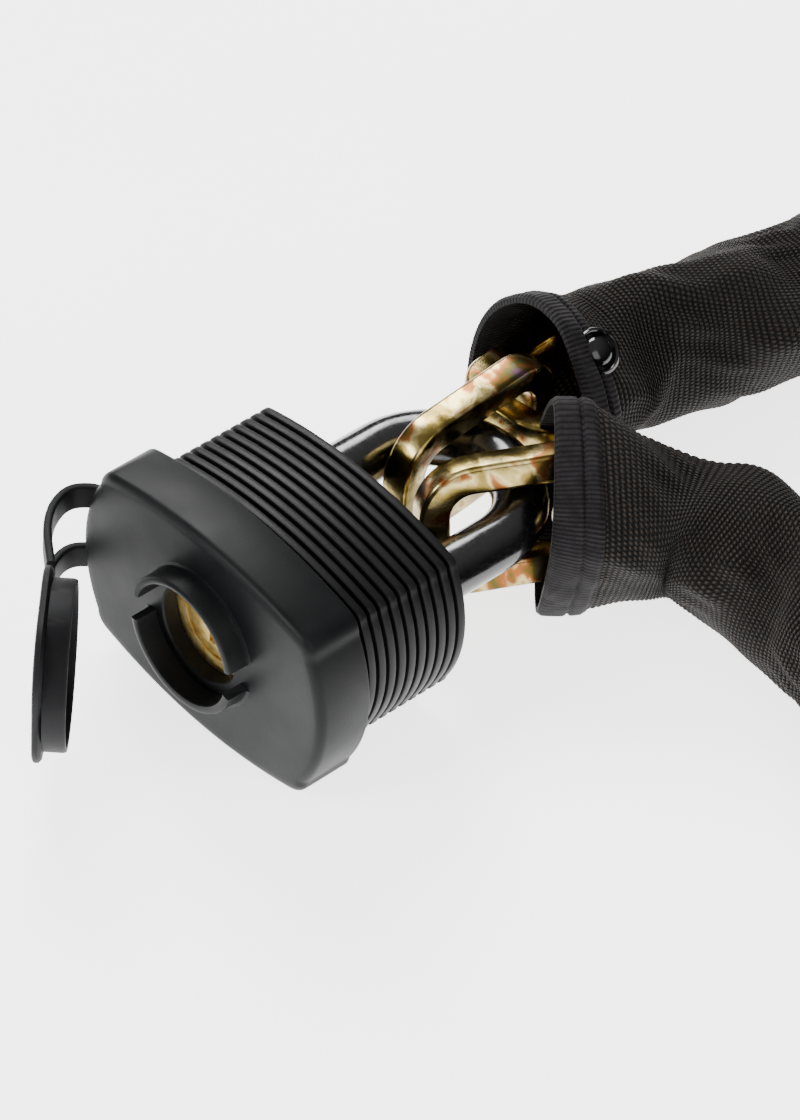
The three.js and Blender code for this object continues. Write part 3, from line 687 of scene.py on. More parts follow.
CAP_ABS = MouldedPolymer("abs_spark_eroded", "08090a", 0.44, light="0f1011", grain=Grain.SPARK_ERODED)
CASING_ABS = MouldedPolymer("abs_ribbed_moulding", "070708", 0.42, light="0e0e0f", grain=Grain.MATT_MOULD)
COVER_RUBBER = MouldedPolymer("rubber_compression_moulded", "08080a", 0.55, light="101012",
                              grain=Grain.RUBBERY, grain_mm=0.6, relief_mm=0.03)
BODY_BRASS = TurnedBrass("brass_turned", "e6c878", 0.46, metallic=1.0)
PIN_STEEL = PlatedSteel("steel_hardened_plated", "b5b6b8", 0.25, metallic=1.0)
STUD_ENAMEL = PlatedSteel("steel_black_enamelled", "060607", 0.05)
LINK_ZINC = PassivatedZinc("steel_zinc_gold_passivated", "806e3a", 0.2, metallic=1.0, patch_mm=7.5)
BOW_VINYL = DippedVinyl("vinyl_dipped_gloss", "060607", 0.16)
SLEEVE_YARN = WovenYarn("polyester_plain_woven", "0f0b09", 0.7, light="382e27")
HEM_TAPE = SelvedgeTape("polyester_selvedge_tape", "100e10", 0.7, light="2c292b")
PAPER = PaperSweep("paper_matt_sweep", "f6f6f6", 0.9)


# ---- the lock's cross-section -----------------------------------------------------------------


@dataclass
class BowedOutline:
    """Straight sides, rounded corners and bowed broad faces, in (y, z) about the lock's axis.

    Attributes:
        width: Across the two straight sides, in metres.
        edge_height: The height at the straight sides.
        bow: How far each broad face stands out at its middle.
        corner_radius: The radius between a side and a broad face.
        count: How many points go round it.
    """

    width: float
    edge_height: float
    bow: float
    corner_radius: float
    count: int = 288

    def ring(self, offset: float = 0.0) -> np.ndarray:
        """The outline moved out by an offset, as points at even angles.

        Args:
            offset: How far out from the outline, in metres.

        Returns:
            Points (y, z).
        """
        half_width = self.width / 2 + offset
        half_height = self.edge_height / 2 + offset
        radius = max(self.corner_radius + offset, 0.5 * MM)
        slope = math.atan(2 * self.bow * (half_width - radius) / half_width**2)
        end_angle = math.pi / 2 - slope
        end_y = half_width - radius + radius * math.cos(end_angle)
        end_z = half_height + self.bow * (1 - (end_y / half_width) ** 2)
        centre_z = end_z - radius * math.sin(end_angle)
        corner_steps, face_steps = 16, 60
        corner = np.linspace(0, end_angle, corner_steps)
        face = np.linspace(end_y, -end_y, face_steps)[1:-1]
        y = np.concatenate([half_width - radius + radius * np.cos(corner), face])
        z = np.concatenate([centre_z + radius * np.sin(corner),
                            half_height + self.bow * (1 - (face / half_width) ** 2)])
        y = np.concatenate([y, -y[:corner_steps][::-1]])
        z = np.concatenate([z, z[:corner_steps][::-1]])
        y, z = np.concatenate([y, -y]), np.concatenate([z, -z])
        angles = np.unwrap(np.arctan2(z, y))
        order = np.argsort(angles)
        wanted = np.linspace(0, 2 * math.pi, self.count, endpoint=False)
        reach = np.interp(wanted, angles[order], np.hypot(y, z)[order], period=2 * math.pi)
        return np.stack([reach * np.cos(wanted), reach * np.sin(wanted)], 1)

    def circle(self, radius: float) -> np.ndarray:
        """A circle with the same count of points, in the same order."""
        angles = np.linspace(0, 2 * math.pi, self.count, endpoint=False)
        return radius * np.stack([np.cos(angles), np.sin(angles)], 1)

    @staticmethod
    def stand(ring: np.ndarray, x: float, middle: float) -> np.ndarray:
        """Stands a (y, z) ring up at one x, about the lock's axis."""
        return np.column_stack([np.full(len(ring), x), ring[:, 0], ring[:, 1] + middle])


def lock_middle() -> float:
    """The height of the lock's axis, which is the middle of the end cap."""
    low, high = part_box("end_cap")
    return (low.z + high.z) / 2


# ---- end cap ----------------------------------------------------------------------------------


@dataclass
class EndCap:
    """The cap over the key end, with a split collar round the keyhole.

    Attributes:
        edge_height: The height at the two straight sides.
        bow: How far each broad face stands out at its middle.
        corner_radius: The radius of the four long corners.
        bevel: The rounding between the front face and the sides.
        wall: The thickness of the front.
        collar_radius: The collar's outer radius.
        collar_wall: The collar's thickness.
        collar_height: How far the collar stands out.
        slot: The width of the collar's two gaps.
        keyhole: The radius of the hole.
        keyhole_edge: The chamfer round the hole.
        rim: The rounding of the rear edge.
        cavity_gap: Between the cap's hollow and the casing in it.
    """

    edge_height: float = 35 * MM
    bow: float = 4.1 * MM
    corner_radius: float = 3.9 * MM
    bevel: float = 1.7 * MM
    wall: float = 3 * MM
    collar_radius: float = 12.9 * MM
    collar_wall: float = 1.6 * MM
    collar_height: float = 4.2 * MM
    slot: float = 6 * MM
    keyhole: float = 9.2 * MM
    keyhole_edge: float = 0.3 * MM
    rim: float = 0.4 * MM
    cavity_gap: float = 0.6 * MM

    def __post_init__(self) -> None:
        """Reads the cap's place from the frame."""
        self.low, self.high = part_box("end_cap")
        self.front = self.low.x + self.collar_height
        self.middle = lock_middle()
        self.outline = BowedOutline(self.high.y - self.low.y, self.edge_height, self.bow, self.corner_radius)

    def shell(self, casing: BowedOutline) -> tuple[np.ndarray, list]:
        """The cap itself as one skin: out over the bevel, back inside and round.

        Args:
            casing: The outline of the casing that the cap goes over.

        Returns:
            The vertices and the faces.
        """
        stand = self.outline.stand
        rings = []
        bevel_steps = 6
        for step in range(bevel_steps + 1):
            angle = step / bevel_steps * math.pi / 2
            inset = -self.bevel * (1 - math.cos(angle))
            depth = self.front + self.bevel * (1 - math.sin(angle))
            rings.append(stand(self.outline.ring(inset), depth, self.middle))
        edge, hole = self.outline.ring(-self.bevel), self.outline.circle(self.keyhole + self.keyhole_edge)
        for share in (0.06, 0.2, 0.4, 0.6, 0.8, 0.94, 1.0):
            rings.append(stand(edge * (1 - share) + hole * share, self.front, self.middle))
        back = self.front + self.wall
        rings.append(stand(self.outline.circle(self.keyhole), self.front + self.keyhole_edge, self.middle))
        rings.append(stand(self.outline.circle(self.keyhole), back, self.middle))
        cavity = casing.ring(self.cavity_gap)
        rings.append(stand(cavity, back, self.middle))
        rings.append(stand(cavity, self.high.x, self.middle))
        rim = self.rim
        rings.append(stand(self.outline.ring(-rim), self.high.x, self.middle))
        rings.append(stand(self.outline.ring(-0.3 * rim), self.high.x - 0.3 * rim, self.middle))
        rings.append(stand(self.outline.ring(), self.high.x - rim, self.middle))
        points, faces, _ = loft(np.array(rings), closed=True)
        return points, faces

    def collar_half(self, sign: int) -> tuple[np.ndarray, list]:
        """One half of the split collar, with rounded edges and a foot fillet.

        Args:
            sign: 1 for the upper half, -1 for the lower one.

        Returns:
            The vertices and the faces.
        """
        inner, outer = self.collar_radius - self.collar_wall, self.collar_radius
        soft = 0.45 * MM
        fillet = 0.7 * MM
        tip, foot = self.front - self.collar_height, self.front + self.wall / 2
        profile = [
            (outer, tip + soft), (outer - 0.3 * soft, tip + 0.3 * soft), (outer - soft, tip),
            (inner + soft, tip), (inner + 0.3 * soft, tip + 0.3 * soft), (inner, tip + soft),
            (inner, foot), (outer + fillet, foot), (outer + fillet, self.front),
            (outer + 0.25 * fillet, self.front - 0.25 * fillet), (outer, self.front - fillet),
        ]
        half_slot = math.asin(self.slot / 2 / outer)
        rings = []
        for angle in np.linspace(half_slot, math.pi - half_slot, 61):
            across, up = math.cos(angle), sign * math.sin(angle)
            rings.append([(x, r * across, r * up + self.middle) for r, x in profile])
        points, faces, _ = loft(np.array(rings))
        return points, faces

    def build(self, casing: BowedOutline) -> None:
        """Builds and dresses the cap.

        Args:
            casing: The outline of the casing that the cap goes over.
        """
        points, faces = self.shell(casing)
        for sign in (1, -1):
            more, sides = self.collar_half(sign)
            faces = faces + [[index + len(points) for index in face] for face in sides]
            points = np.vstack([points, more])
        cap = make_mesh("cap_moulding", points, faces)
        dress(cap, CAP_ABS.build())
        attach(cap, "lock")
        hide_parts("end_cap")
        LOG.info("end cap: %d vertices", len(points))


# ---- casing -----------------------------------------------------------------------------------


@dataclass
class Casing:
    """The ribbed plastic casing over the brass body.

    Attributes:
        edge_height: The height at the straight sides, over the ribs.
        bow: How far each broad face stands out.
        corner_radius: The corner radius over the ribs.
        ribs: How many ribs there are.
        groove: The width of a groove.
        depth: The depth of a groove.
        wall: The thickness under the ribs.
        rear_wall: The thickness of the rear face.
        gap: The clearance behind the cap.
        edge: The rounding along a rib's two edges.
        flank: How much wider a groove is at its top than at its floor, on each side.
    """

    edge_height: float = 28.8 * MM
    bow: float = 3.4 * MM
    corner_radius: float = 1.8 * MM
    ribs: int = 11
    groove: float = 0.65 * MM
    depth: float = 1 * MM
    wall: float = 2 * MM
    rear_wall: float = 2.2 * MM
    gap: float = 0.3 * MM
    edge: float = 0.25 * MM
    flank: float = 0.05 * MM

    def __post_init__(self) -> None:
        """Reads the casing's place from the frame."""
        self.low, self.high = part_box("casing")
        self.middle = lock_middle()
        self.outline = BowedOutline(self.high.y - self.low.y, self.edge_height, self.bow, self.corner_radius)

    def build(self) -> None:
        """Builds and dresses the casing."""
        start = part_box("end_cap")[1].x + self.gap
        pitch = (self.high.x - start + self.groove) / self.ribs
        stand = self.outline.stand
        floor = self.outline.ring(-self.depth)
        soft = self.edge
        near, top = self.outline.ring(-soft), self.outline.ring()
        almost = self.outline.ring(-0.3 * soft)
        rings = [stand(floor, self.low.x, self.middle)]
        for index in range(self.ribs):
            front = start + index * pitch
            rear = front + pitch - self.groove
            places = [
                (floor, front - self.flank), (near, front), (almost, front + 0.3 * soft), (top, front + soft),
                (top, rear - soft), (almost, rear - 0.3 * soft), (near, rear),
            ]
            rings += [stand(ring, x, self.middle) for ring, x in places]
            if index < self.ribs - 1:
                rings.append(stand(floor, rear + self.flank, self.middle))
        for share in (0.85, 0.4, 0.02):
            rings.append(stand(near * share, self.high.x, self.middle))
        inside = self.outline.ring(-self.depth - self.wall)
        for share in (0.02, 1.0):
            rings.append(stand(inside * share, self.high.x - self.rear_wall, self.middle))
        rings.append(stand(inside, self.low.x, self.middle))
        points, faces, _ = loft(np.array(rings), closed=True)
        casing = make_mesh("ribbed_casing", points, faces)
        dress(casing, CASING_ABS.build())
        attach(casing, "lock")
        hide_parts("casing")
        LOG.info("casing: %d ribs", self.ribs)


# ---- plug and the works ------------------------------------------------------------------------


@dataclass
class LockWorks:
    """The brass plug with its keyway, and the finishes of the pieces inside.

    Attributes:
        chamfer: The chamfer round the plug's face.
        keyway: Corners (y, z) of the keyway from the plug's axis, in millimetres.
    """

    chamfer: float = 0.35 * MM
    keyway: Sequence[tuple[float, float]] = (
        (-1.1, 4.4), (-0.1, 4.4), (-0.1, 2.3), (1.1, 1.7), (1.1, -0.4), (0.3, -1.0), (1.1, -1.9),
        (1.1, -4.4), (-0.3, -4.4), (-0.3, -2.4), (-1.1, -1.6), (-1.1, 0.6), (-0.4, 1.2), (-1.1, 2.0),
    )

    def plug_mesh(self) -> bpy.types.Object:
        """The plug as a bar with the keyway through it.

        Returns:
            The new object.
        """
        low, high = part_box("key_plug")
        radius = (high.y - low.y) / 2
        drawing = bpy.data.curves.new("plug_drawing", "CURVE")
        drawing.dimensions = "2D"
        drawing.fill_mode = "BOTH"
        length = high.x - low.x
        drawing.extrude = length / 2 - self.chamfer
        drawing.bevel_depth = self.chamfer
        drawing.offset = -self.chamfer
        drawing.bevel_resolution = 1
        turns = np.linspace(0, 2 * math.pi, 96, endpoint=False)
        rim = [(radius * math.cos(a), radius * math.sin(a)) for a in turns]
        for outline in (rim, [(y * MM, z * MM) for y, z in self.keyway]):
            spline = drawing.splines.new("POLY")
            spline.points.add(len(outline) - 1)
            for point, (y, z) in zip(spline.points, outline):
                point.co = (y, z, 0, 1)
            spline.use_cyclic_u = True
        holder = bpy.data.objects.new("plug_drawing", drawing)
        bpy.context.scene.collection.objects.link(holder)
        mesh = bpy.data.meshes.new_from_object(holder.evaluated_get(bpy.context.evaluated_depsgraph_get()))
        bpy.data.objects.remove(holder)
        middle_x = (low.x + high.x) / 2
        mesh.transform(Matrix(((0, 0, -1, middle_x), (1, 0, 0, 0), (0, 1, 0, lock_middle()), (0, 0, 0, 1))))
        mesh.materials.clear()
        work = bmesh.new()
        work.from_mesh(mesh)
        bmesh.ops.remove_doubles(work, verts=work.verts, dist=0.001 * MM)
        bmesh.ops.recalc_face_normals(work, faces=work.faces)
        work.to_mesh(mesh)
        work.free()
        mesh.shade_smooth()
        mesh.set_sharp_from_angle(angle=math.radians(25))
        plug = bpy.data.objects.new("turned_plug", mesh)
        bpy.context.scene.collection.objects.link(plug)
        return plug

    def build(self) -> None:
        """Builds the plug and dresses the works."""
        brass, steel = BODY_BRASS.build(), PIN_STEEL.build()
        plug = self.plug_mesh()
        dress(plug, brass)
        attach(plug, "plug")
        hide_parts("key_plug")
        slots = {row["node"]: row["material_slot"] for row in frame["record"]["subparts"]}
        for node, thing in frame["nodes"].items():
            if slots[node] == "brass":
                dress(thing, brass)
            elif slots[node] == "steel":
                dress(thing, steel)
        LOG.info("works: plug and %d inner pieces", sum(s in ("brass", "steel") for s in slots.values()))


# ---- shackle ----------------------------------------------------------------------------------


@dataclass
class ShackleCoat:
    """The thick glossy coat round the shackle.

    Attributes:
        sides: Points round the coat.
        lip: The rounding at the coat's two ends.
    """

    sides: int = 48
    lip: float = 0.6 * MM

    def build(self) -> None:
        """Builds and dresses the coat."""
        low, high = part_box("shackle_coating")
        radius = (high.z - low.z) / 2
        middle = (high.z + low.z) / 2
        spread = (high.y - low.y) / 2 - radius
        bow_x = high.x - radius - spread
        angles = np.linspace(math.pi / 2, -math.pi / 2, 49)
        bow = np.stack([bow_x + spread * np.cos(angles), spread * np.sin(angles)], 1)
        steps = 11
        heel = np.stack([np.linspace(low.x, bow_x, steps + 1)[:-1], np.full(steps, spread)], 1)
        toe = np.stack([np.linspace(bow_x, low.x, steps + 1)[1:], np.full(steps, -spread)], 1)
        plan = np.vstack([heel, bow, toe])
        path = np.column_stack([plan, np.full(len(plan), middle)])
        turn = np.linspace(0, 2 * math.pi, self.sides, endpoint=False)
        section = radius * np.stack([np.cos(turn), np.sin(turn)], 1)
        rings = sweep(path, section, np.array([0.0, 0.0, 1.0]))
        centre = path[:, None]
        ends = []
        for end in (0, -1):
            for share in (0.0, 0.3, 1.0):
                inset = 1 - self.lip / radius * (1 - share) ** 2
                ring = centre[end] + (rings[end] - centre[end]) * inset
                ends.append(ring + np.array([self.lip * share, 0.0, 0.0]))
        rings = np.vstack([np.array(ends[:3]), rings[2:-2], np.array(ends[3:])[::-1]])
        points, faces, _ = loft(rings)
        coat = make_mesh("bow_coat", points, faces)
        dress(coat, BOW_VINYL.build())
        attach(coat, "shackle")
        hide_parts("shackle_coating")
        LOG.info("shackle coat: %.1f mm thick", 2 * radius / MM)


# ---- key cover --------------------------------------------------------------------------------


@dataclass
class KeyCover:
    """The rubber cover over the keyhole, hung on two straps.

    Attributes:
        size: The side of the square plate.
        corner_radius: The plate's corner radius.
        plate: The plate's thickness.
        cup_wall: The wall of the cup that grips the collar.
        cup_depth: How deep the cup is.
        clearance: Between the cup and the collar, and in front of the collar.
        edge: The rounding of the plate's and the cup's edges.
        dome: How far the plate's middle stands out.
        strap_thickness: The thickness of each strap.
        strap_edge: The rounding of each strap's edges.
        strap_crown: Where each strap's loop is furthest out, as (x, y); not used.
        strap_tip: Where each strap meets the cover, as (x, y); not used.
    """

    size: float = 28.8 * MM
    corner_radius: float = 9.5 * MM
    plate: float = 1.6 * MM
    cup_wall: float = 1 * MM
    cup_depth: float = 4 * MM
    clearance: float = 0.3 * MM
    edge: float = 0.5 * MM
    dome: float = 0.5 * MM
    strap_thickness: float = 1.5 * MM
    strap_edge: float = 0.5 * MM
    strap_crown: tuple[float, float] = (-7.8 * MM, 33.2 * MM)
    strap_tip: tuple[float, float] = (-19.0 * MM, 22.5 * MM)

    def turn(self, points: np.ndarray) -> np.ndarray:
        """Swings points from the closed place of the cover to where it hangs.

        Args:
            points: Points of the closed cover.

        Returns:
            The same points at rest.
        """
        joint = next(j for j in frame["record"]["behaviour"]["joints"] if j["name"] == "cover_swing")
        swing = Matrix.Rotation(-math.radians(joint["range_deg"][1]), 3, "Z")
        pin = np.array(joint["pos_m"])
        return (points - pin) @ np.array(swing).T + pin

    def cover(self, cap: EndCap) -> bpy.types.Object:
        """The plate with a soft edge and the cup behind it.

        Args:
            cap: The cap that the cover closes.

        Returns:
            The new object.
        """
        face = cap.front - cap.collar_height - self.clearance
        middle = cap.middle
        count = 128
        square = rounded_rectangle(self.size, self.size, self.corner_radius, 12)
        outline = evenly(square, self.size / 40, closed=True)
        wanted = np.linspace(0, 2 * math.pi, count, endpoint=False)
        angles = np.arctan2(outline[:, 1], outline[:, 0])
        reach = np.interp(wanted, angles, np.hypot(*outline.T), period=2 * math.pi)
        plate = np.stack([reach * np.cos(wanted), reach * np.sin(wanted)], 1)
        circle = np.stack([np.cos(wanted), np.sin(wanted)], 1)
        bore = cap.collar_radius + 2 * self.clearance
        soft, dome = self.edge, self.dome
        out, rim = face - self.plate, face + self.cup_depth
        cup = bore + self.cup_wall
        steps = [
            (plate * 0.02, out - dome), (plate * 0.5, out - 0.8 * dome), (plate * 0.8, out - 0.3 * dome),
            (plate * (1 - soft / self.size * 2), out),
            (plate * (1 - soft / self.size * 0.5), out + 0.4 * soft), (plate, out + soft),
            (plate, face - soft), (plate * (1 - soft / self.size * 2), face),
            (circle * cup, face + 0.1 * MM), (circle * cup, rim - soft),
            (circle * (cup - 0.3 * soft), rim), (circle * (bore + 0.3 * soft), rim),
            (circle * bore, rim - soft), (circle * bore, face + 0.2 * MM),
            (circle * bore * 0.95, face), (circle * 0.1 * MM, face),
        ]
        rings = [np.column_stack([np.full(count, x), ring[:, 0], ring[:, 1] + middle]) for ring, x in steps]
        points, faces, _ = loft(np.array(rings))
        return make_mesh("rubber_cover", self.turn(points), faces)

    def strap(self, node: str) -> bpy.types.Object:
        """One strap, swept along the middle line of its CAD node.

        Args:
            node: The CAD node of the strap.

        Returns:
            The new object.
        """
        low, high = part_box(node)
        corners = np.array([v.co for v in frame["nodes"][node].data.vertices])
        top = corners[corners[:, 2] > (low.z + high.z) / 2][:, :2]
        top = np.unique(np.round(top, 7), axis=0)
        # The two long edges pair up across the strap's thickness; their midpoints give its middle line.
        pairs = []
        for index, point in enumerate(top):
            gaps = np.linalg.norm(top - point, axis=1)
            partner = int(np.argmin(np.abs(gaps - self.strap_thickness)))
            pairs.append((top[index] + top[partner]) / 2)
        line = np.unique(np.round(np.array(pairs), 5), axis=0)
        order = [int(np.argmax(line[:, 0]))]
        while len(order) < len(line):
            gaps = np.linalg.norm(line - line[order[-1]], axis=1)
            gaps[order] = np.inf
            order.append(int(np.argmin(gaps)))
        plan = evenly(smooth_curve(line[order], 6), 0.6 * MM)
        path = np.column_stack([plan, np.full(len(plan), (low.z + high.z) / 2)])
        section = rounded_rectangle(self.strap_thickness, high.z - low.z, self.strap_edge)
        points, faces, _ = loft(sweep(path, section, np.array([0.0, 0.0, 1.0])))
        return make_mesh(node.replace("cover_strap", "strap"), points, faces)

    def build(self, cap: EndCap) -> None:
        """Builds and dresses the cover and its straps.

        Args:
            cap: The cap that the cover closes.
        """
        rubber = COVER_RUBBER.build()
        cover = self.cover(cap)
        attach(cover, "cover")
        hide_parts("key_cover")
        pieces = [cover]
        for node in ("cover_strap_upper", "cover_strap_lower"):
            strap = self.strap(node)
            # The strap keeps the path of its CAD node; it is not turned with the cover.
            height = (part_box(node)[0].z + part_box(node)[1].z) / 2
            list(self.strap_crown)
            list(self.strap_tip)
            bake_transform(strap)
            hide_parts(node)
            pieces.append(strap)
        for piece in pieces:
            dress(piece, rubber)
        LOG.info("key cover and %d straps", len(pieces) - 1)


# ---- chain ------------------------------------------------------------------------------------


@dataclass
class ChainLinks:
    """Square-bar links: each one a bent bar with softened edges.

    Attributes:
        corner_radius: The outside radius of a link's four bends.
        edge_radius: The rounding along the bar's edges.
    """

    corner_radius: float = 9.6 * MM
    edge_radius: float = 0.9 * MM

    def link(self, node: str) -> bpy.types.Object:
        """One smooth link in the place of its CAD node.

        Args:
            node: The CAD node of the link.

        Returns:
            The new object.
        """
        corners = np.array([v.co for v in frame["nodes"][node].data.vertices])
        corners = np.unique(np.round(corners, 7), axis=0)
        centre = (corners.max(0) + corners.min(0)) / 2
        for _ in range(2):
            axes = np.linalg.svd(corners - corners.mean(0), full_matrices=False)[2]
            spans = (corners @ axes.T).max(0), (corners @ axes.T).min(0)
            centre = ((spans[0] + spans[1]) / 2) @ axes
        length, width, bar = spans[0] - spans[1]
        radius = self.corner_radius - bar / 2
        outline = evenly(rounded_rectangle(length - bar, width - bar, radius, 10), 0.8 * MM, closed=True)
        path = centre + outline[:, :1] * axes[0] + outline[:, 1:] * axes[1]
        section = rounded_rectangle(bar, bar, self.edge_radius, 3)
        points, faces, _ = loft(sweep(path, section, axes[2], closed=True), closed=True)
        return make_mesh(f"bar_{node}", points, faces)

    def build(self) -> list[bpy.types.Object]:
        """Builds and dresses every link.

        Returns:
            The links.
        """
        zinc = LINK_ZINC.build()
        inner = sorted((node for node in frame["nodes"] if node.startswith("chain_link")),
                       key=lambda node: int(node.rsplit("_", 1)[1]))
        bare = {node: self.link(node) for node in ("rear_lock_link", "front_lock_link", inner[0], inner[-1])}
        covered = [self.link(node) for node in inner[1:-1]]
        with bpy.context.temp_override(active_object=covered[0], selected_editable_objects=covered):
            bpy.ops.object.join()
        covered[0].name = "covered_links"
        links = [*bare.values(), covered[0]]
        for link in links:
            dress(link, zinc)
            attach(link, "chain")
        for node, link in bare.items():
            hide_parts(node)
        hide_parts(*inner[1:-1])
        LOG.info("chain: %d links", len(inner) + 2)
        return links


# ---- sleeve -----------------------------------------------------------------------------------


@dataclass(frozen=True)
class Fold:
    """Soft folds that wind along the sleeve.

    Attributes:
        height_mm: How far they stand out.
        lobes: How many go round the sleeve.
        twist: How far they wind along it, in radians per millimetre.
        start: Their turn at the rear mouth, in radians.
    """

    height_mm: float
    lobes: int
    twist: float
    start: float = 0.0

    def at(self, angle: np.ndarray, along: np.ndarray) -> np.ndarray:
        """The folds' height in millimetres, by direction and by millimetres along the sleeve."""
        return self.height_mm * np.sin(angle * self.lobes + along * self.twist + self.start)


@dataclass
class Sleeve:
    """The woven sleeve round the chain, with a hem at each mouth and a press stud.

    Attributes:
        tall: Half the height of the sleeve in its middle stretch.
        broad: Half the breadth there.
        drop: How far the loose cloth hangs below the chain's middle.
        rear_tall: Half the height at the rear mouth.
        rear_broad: Half the breadth there.
        front_tall: Half the height where it lies flat at the front mouth.
        front_broad: Half the breadth there.
        front_lean: How far the front mouth leans from upright, in degrees.
        ease: Between the links and the cloth.
        settle: How far from a mouth the sleeve takes its round form.
        row: The spacing of the woven rows.
        row_relief: How far the rows stand out.
        around: Points round the sleeve.
        wall: The thickness of the cloth.
        hem: The length of a hem.
        hem_wall: The thickness of a hem.
        diameter: The sleeve's nominal diameter; not used.
        girth_mm: The yarn's count of millimetres round the sleeve, which scales the weave.
        folds: The soft folds that wind along it.
        fold_depth: How far inwards a fold may fall, in millimetres; the links are close under the cloth.
        route: Points of the chain's route between the two lock links, in millimetres.
        rear_mouth: Where the sleeve starts, in millimetres.
        front_mouth: Where it ends.
    """

    tall: float = 13.0 * MM
    broad: float = 12.0 * MM
    drop: float = 3.7 * MM
    rear_tall: float = 16.3 * MM
    rear_broad: float = 12.8 * MM
    front_tall: float = 19.4 * MM
    front_broad: float = 7.5 * MM
    front_lean: float = 20.0
    settle: float = 26 * MM
    ease: float = 1.3 * MM
    row: float = 1.05 * MM
    row_relief: float = 0.3 * MM
    around: int = 96
    wall: float = 0.6 * MM
    hem: float = 8 * MM
    hem_wall: float = 1.1 * MM
    diameter: float = 29 * MM
    girth_mm: float = 88.0
    folds: Sequence[Fold] = (Fold(0.5, 3, 0.13), Fold(0.4, 5, -0.27, 1.3), Fold(0.35, 2, 0.37, 0.6))
    fold_depth: float = 0.45
    route: Sequence[tuple[float, float, float]] = (
        (88, 12.2, 18.8), (100, 12, 17.4), (113, 8.6, 17), (128, 4.4, 17), (144, 2.2, 17), (160, -1, 17),
        (192, -7.4, 17), (219.4, -25.6, 17), (237.6, -53, 17), (244, -85, 17), (237.6, -117, 17),
        (219.4, -144.4, 17), (192, -162.6, 17), (160, -169, 17), (128, -162.6, 17), (100.6, -144.4, 17),
        (84, -117, 17), (80, -90, 17), (83.9, -66, 17), (84.8, -46.4, 17), (81.2, -29, 18.8),
    )
    rear_mouth: tuple[float, float, float] = (79.6, 12.5, 20.6)
    front_mouth: tuple[float, float, float] = (62.0, -12.4, 19.6)

    def __post_init__(self) -> None:
        """Lays the middle line out."""
        ends = np.array([self.rear_mouth, *self.route, self.front_mouth]) * MM
        self.line = evenly(smooth_curve(ends), self.row / 4)
        steps = np.linalg.norm(np.diff(self.line, axis=0), axis=1)
        self.travel = np.concatenate([[0], np.cumsum(steps)])
        self.length = float(self.travel[-1])
        self.ways = np.linspace(0, 2 * math.pi, 72, endpoint=False)

    def mouths(self, at: np.ndarray) -> tuple[np.ndarray, np.ndarray]:
        """How near each place is to the rear mouth and to the front mouth, from 0 to 1.

        Args:
            at: Distances along the sleeve in metres.

        Returns:
            The nearness to the rear mouth and to the front one.
        """
        rear = 1 - fade(at, 0, self.settle)
        front = 1 - fade(self.length - at, 5 * MM, self.settle)
        return rear, front

    def frames(self, at: np.ndarray) -> tuple[np.ndarray, np.ndarray, np.ndarray, np.ndarray]:
        """The middle line and the sleeve's own directions at some distances along it.

        Args:
            at: Distances along the sleeve in metres.

        Returns:
            The places, and the directions ahead, across and up.
        """
        window = 3 * MM
        middle, before, after = (
            np.stack([np.interp(at + shift, self.travel, self.line[:, axis]) for axis in range(3)], 1)
            for shift in (0.0, -window, window)
        )
        ahead = after - before
        ahead /= np.linalg.norm(ahead, axis=1, keepdims=True)
        level = np.cross(ahead, [0.0, 0.0, 1.0])
        level /= np.linalg.norm(level, axis=1, keepdims=True)
        plumb = np.cross(level, ahead)
        lean = math.radians(self.front_lean) * self.mouths(at)[1][:, None]
        across = level * np.cos(lean) - plumb * np.sin(lean)
        up = plumb * np.cos(lean) + level * np.sin(lean)
        return middle, ahead, across, up

    def own_shape(self, at: np.ndarray) -> np.ndarray:
        """The loose cloth's own oval, as how far it reaches in each direction.

        Args:
            at: Distances along the sleeve in metres.

        Returns:
            The reach by place and direction.
        """
        rear, front = (value[:, None] for value in self.mouths(at))
        tall = self.tall + (self.rear_tall - self.tall) * rear + (self.front_tall - self.tall) * front
        broad = self.broad + (self.rear_broad - self.broad) * rear + (self.front_broad - self.broad) * front
        sag = self.drop * (1 - rear) * (1 - front)
        return np.hypot(broad * np.cos(self.ways), tall * np.sin(self.ways)) - sag * np.sin(self.ways)

    def wrap(self, links: list[bpy.types.Object]) -> None:
        """Measures how far the links push the cloth out, in every direction at every station.

        Args:
            links: The links that the sleeve covers.
        """
        places = []
        for link in links:
            buffer = np.empty(3 * len(link.data.vertices))
            link.data.vertices.foreach_get("co", buffer)
            places.append(buffer.reshape(-1, 3))
        places = np.vstack(places)
        self.stations = np.arange(0, self.length, 1 * MM)
        middle, ahead, across, up = self.frames(self.stations)
        self.push = np.zeros((len(self.stations), len(self.ways)))
        slab, batches = 1.5 * MM, 40
        for part in np.array_split(places, batches):
            nearest = np.argmin(((part[:, None] - middle[None]) ** 2).sum(2), axis=1)
            away = part - middle[nearest]
            inside = np.abs((away * ahead[nearest]).sum(1)) < slab
            x, z = (away * across[nearest]).sum(1), (away * up[nearest]).sum(1)
            reach = x[:, None] * np.cos(self.ways) + z[:, None] * np.sin(self.ways) + self.ease
            np.maximum.at(self.push, nearest[inside], reach[inside])
        # The cloth bridges from one high place to the next, and bends softly over each.
        spread, soft = 3, 8
        padded = np.pad(self.push, ((spread, spread), (0, 0)), mode="edge")
        self.push = np.max([padded[k : k + len(self.push)] for k in range(2 * spread + 1)], axis=0)
        bell = np.exp(-(np.arange(-soft, soft + 1) ** 2) / 18.0)
        padded = np.pad(self.push, ((soft, soft), (0, 0)), mode="edge")
        self.push = np.stack([np.convolve(column, bell / bell.sum(), "valid") for column in padded.T], 1)

